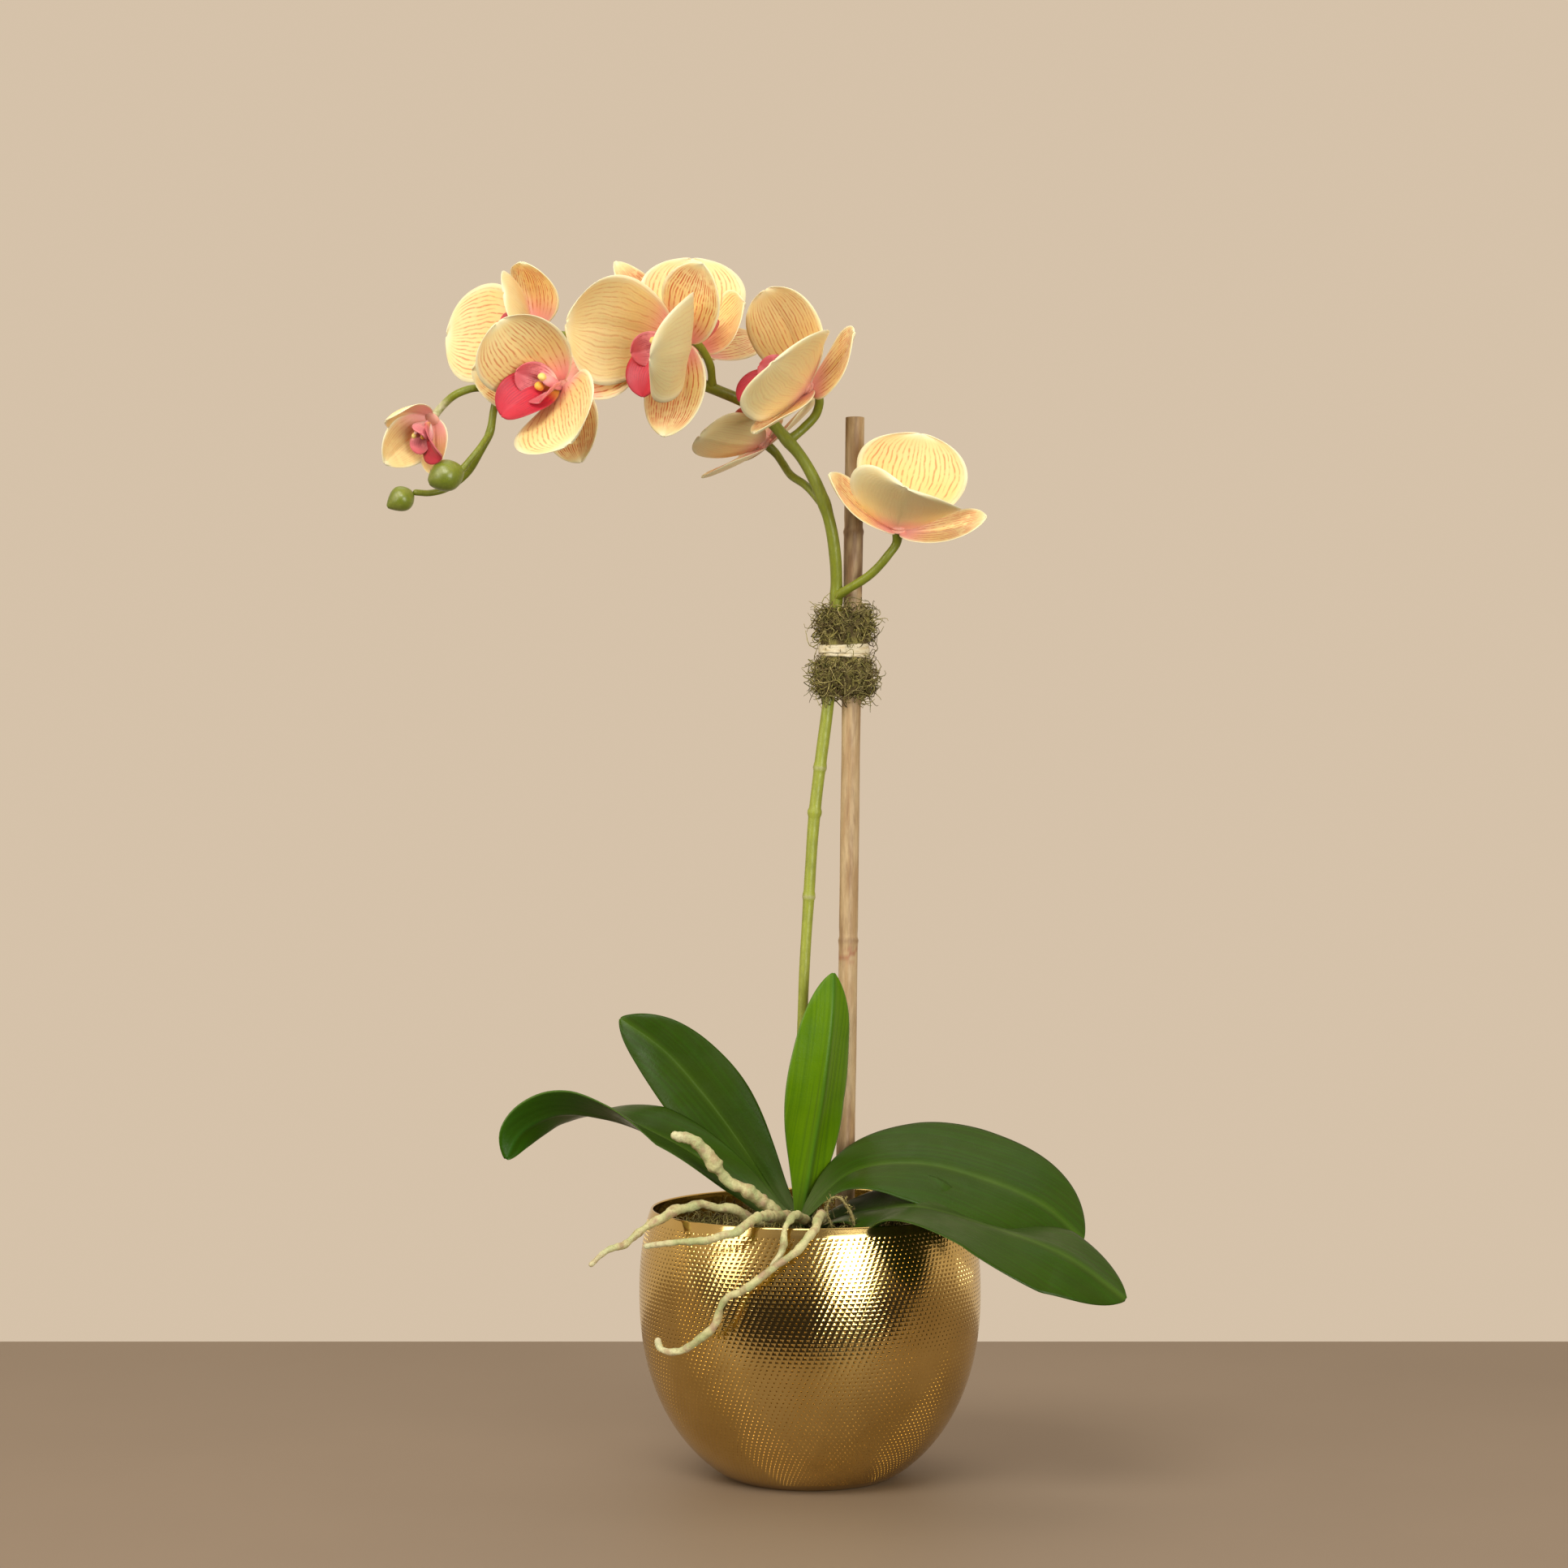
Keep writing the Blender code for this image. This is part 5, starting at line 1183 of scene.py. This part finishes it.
def blooms():
    """Sepals behind, petals over them, then lip and column with a golden callus."""
    for number, (name, flower) in enumerate(FLOWERS.items()):
        title = name.replace("flower", "bloom")
        back, middle = (0.0, HUB_RADIUS), (PETAL_STEP, HUB_RADIUS)
        front = (LIP_STEP, LIP_HUB_RADIUS)
        sepals = [petal_part(flower, lobe, SEPAL_LOBE, back, seed=number + k * 1.7)
                  for k, lobe in enumerate(flower["sepals"])]
        sepals.append(ball_hub(flower, 0.0010))
        make(title + "_sepals", joined(sepals), PETAL, [name + "_sepals"])
        if flower["petals"]:
            petals = [petal_part(flower, lobe, PETAL_LOBE, middle, seed=number + 0.9 + k * 2.1)
                      for k, lobe in enumerate(flower["petals"])]
            petals.append(ball_hub(flower, 0.0026))
            make(title + "_petals", joined(petals), PETAL, [name + "_petals"])
        size = flower.get("lip_scale", 1.0)
        lips = [petal_part(flower, lobe, LIP_LOBE, front, 26, 17, number, "lip")
                for lobe in lip_lobes(size)]
        for y, z, bead, colour, seed in (CALLUS, ANTHER_CAP):
            centre = (0, y * size, LIP_STEP + z * size)
            lips.append(ball(flower, centre, np.array(bead) * size, colour, seed))
        make(title + "_lip", joined(lips), LIP, [name + "_lip"])


def ball_hub(flower, height):
    """The small swelling where a layer's lobes meet."""
    return ball(flower, (0, 0, height), (0.0036, 0.0036, 0.0014), (0.86, 0.46, 0.36), 7)


# ---------------------------------------------------------------- stage, light, camera
def flat_stage(name, corners, colour, roughness, size):
    """A plain surface with the faintest cloud in its colour."""
    mesh = bpy.data.meshes.new(name)
    mesh.from_pydata(corners, [], [(0, 1, 2, 3)])
    look = Finish(name, roughness)
    other = tuple(0.94 * c for c in colour)
    look.colour(look.mix(look.between(look.noise(size, 4.0), 0.3, 0.7), colour, other))
    mesh.materials.append(look.material)
    obj = bpy.data.objects.new(name, mesh)
    bpy.context.scene.collection.objects.link(obj)


def area_light(name, place, aim, size, power, colour):
    """A soft box that shows in the metal but not in the background."""
    lamp = bpy.data.lights.new(name, "AREA")
    lamp.shape = "RECTANGLE"
    lamp.size, lamp.size_y = size
    lamp.energy = power
    lamp.color = colour
    obj = bpy.data.objects.new(name, lamp)
    obj.location = place
    obj.rotation_euler = (Vector(aim) - Vector(place)).to_track_quat("-Z", "Y").to_euler()
    obj.visible_camera = False
    bpy.context.scene.collection.objects.link(obj)


def room():
    """The room's light by direction: a beige wall behind the plant, and in front of it a
    dim room, darker below the table's edge and warmer to the left."""
    world = bpy.data.worlds.new("room")
    world.use_nodes = True
    look = Finish.__new__(Finish)
    look.tree = world.node_tree
    toward = look.tree.nodes.new("ShaderNodeTexCoord").outputs["Generated"]
    split = look.tree.nodes.new("ShaderNodeSeparateXYZ")
    look.plug(split.inputs[0], toward)
    x, y, z = split.outputs
    upper = look.mix(look.between(x, -0.9, -0.1), (0.62, 0.50, 0.36), (0.22, 0.18, 0.14))
    front = look.mix(look.between(z, -0.06, 0.10), (0.035, 0.028, 0.022), upper)
    look.plug(look.tree.nodes["Background"].inputs[0],
              look.mix(look.between(y, -0.12, 0.10), front, (0.67, 0.54, 0.40)))
    bpy.context.scene.world = world


def studio():
    """A pale table top, soft boxes in front and to the sides, and the room."""
    flat_stage("table_top", [(-2.5, -0.24, 0), (2.5, -0.24, 0), (2.5, 0.345, 0), (-2.5, 0.345, 0)],
               (0.255, 0.190, 0.130), 0.6, 3.0)
    area_light("key box", (0.80, -1.60, 0.42), (0.0, 0.0, 0.15), (0.85, 1.0), 21, (1.0, 0.98, 0.94))
    area_light("high box", (-0.5, -1.5, 1.7), (0.0, 0.0, 0.3), (1.2, 0.8), 25, (1.0, 0.97, 0.92))
    area_light("left box", (-1.5, -1.0, 0.8), (0.0, 0.0, 0.35), (0.6, 1.4), 12, (1.0, 0.96, 0.90))
    area_light("top box", (0.1, 0.2, 1.9), (0.0, 0.0, 0.3), (1.6, 1.2), 7, (1.0, 0.97, 0.93))
    room()
    bpy.context.scene.view_settings.view_transform = "Standard"


def camera():
    """A long lens, level, a metre and a half in front of the plant."""
    lens = bpy.data.cameras.new("camera")
    lens.sensor_width = 36.0
    lens.lens = 75.68
    obj = bpy.data.objects.new("camera", lens)
    obj.location = (-0.0114, -1.45, 0.3036)
    obj.rotation_euler = (np.pi / 2, 0.0, 0.0)
    bpy.context.scene.collection.objects.link(obj)
    bpy.context.scene.camera = obj


camera()
studio()
bowl()
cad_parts["potting_mix"].material_slots[0].material = SOIL
moss_bed()
moss_tendril()
stake()
moss_wrap()
raffia_tie()
spike()
pedicels()
buds()
crown()
leaves()
roots()
blooms()

bpy.context.view_layer.update()
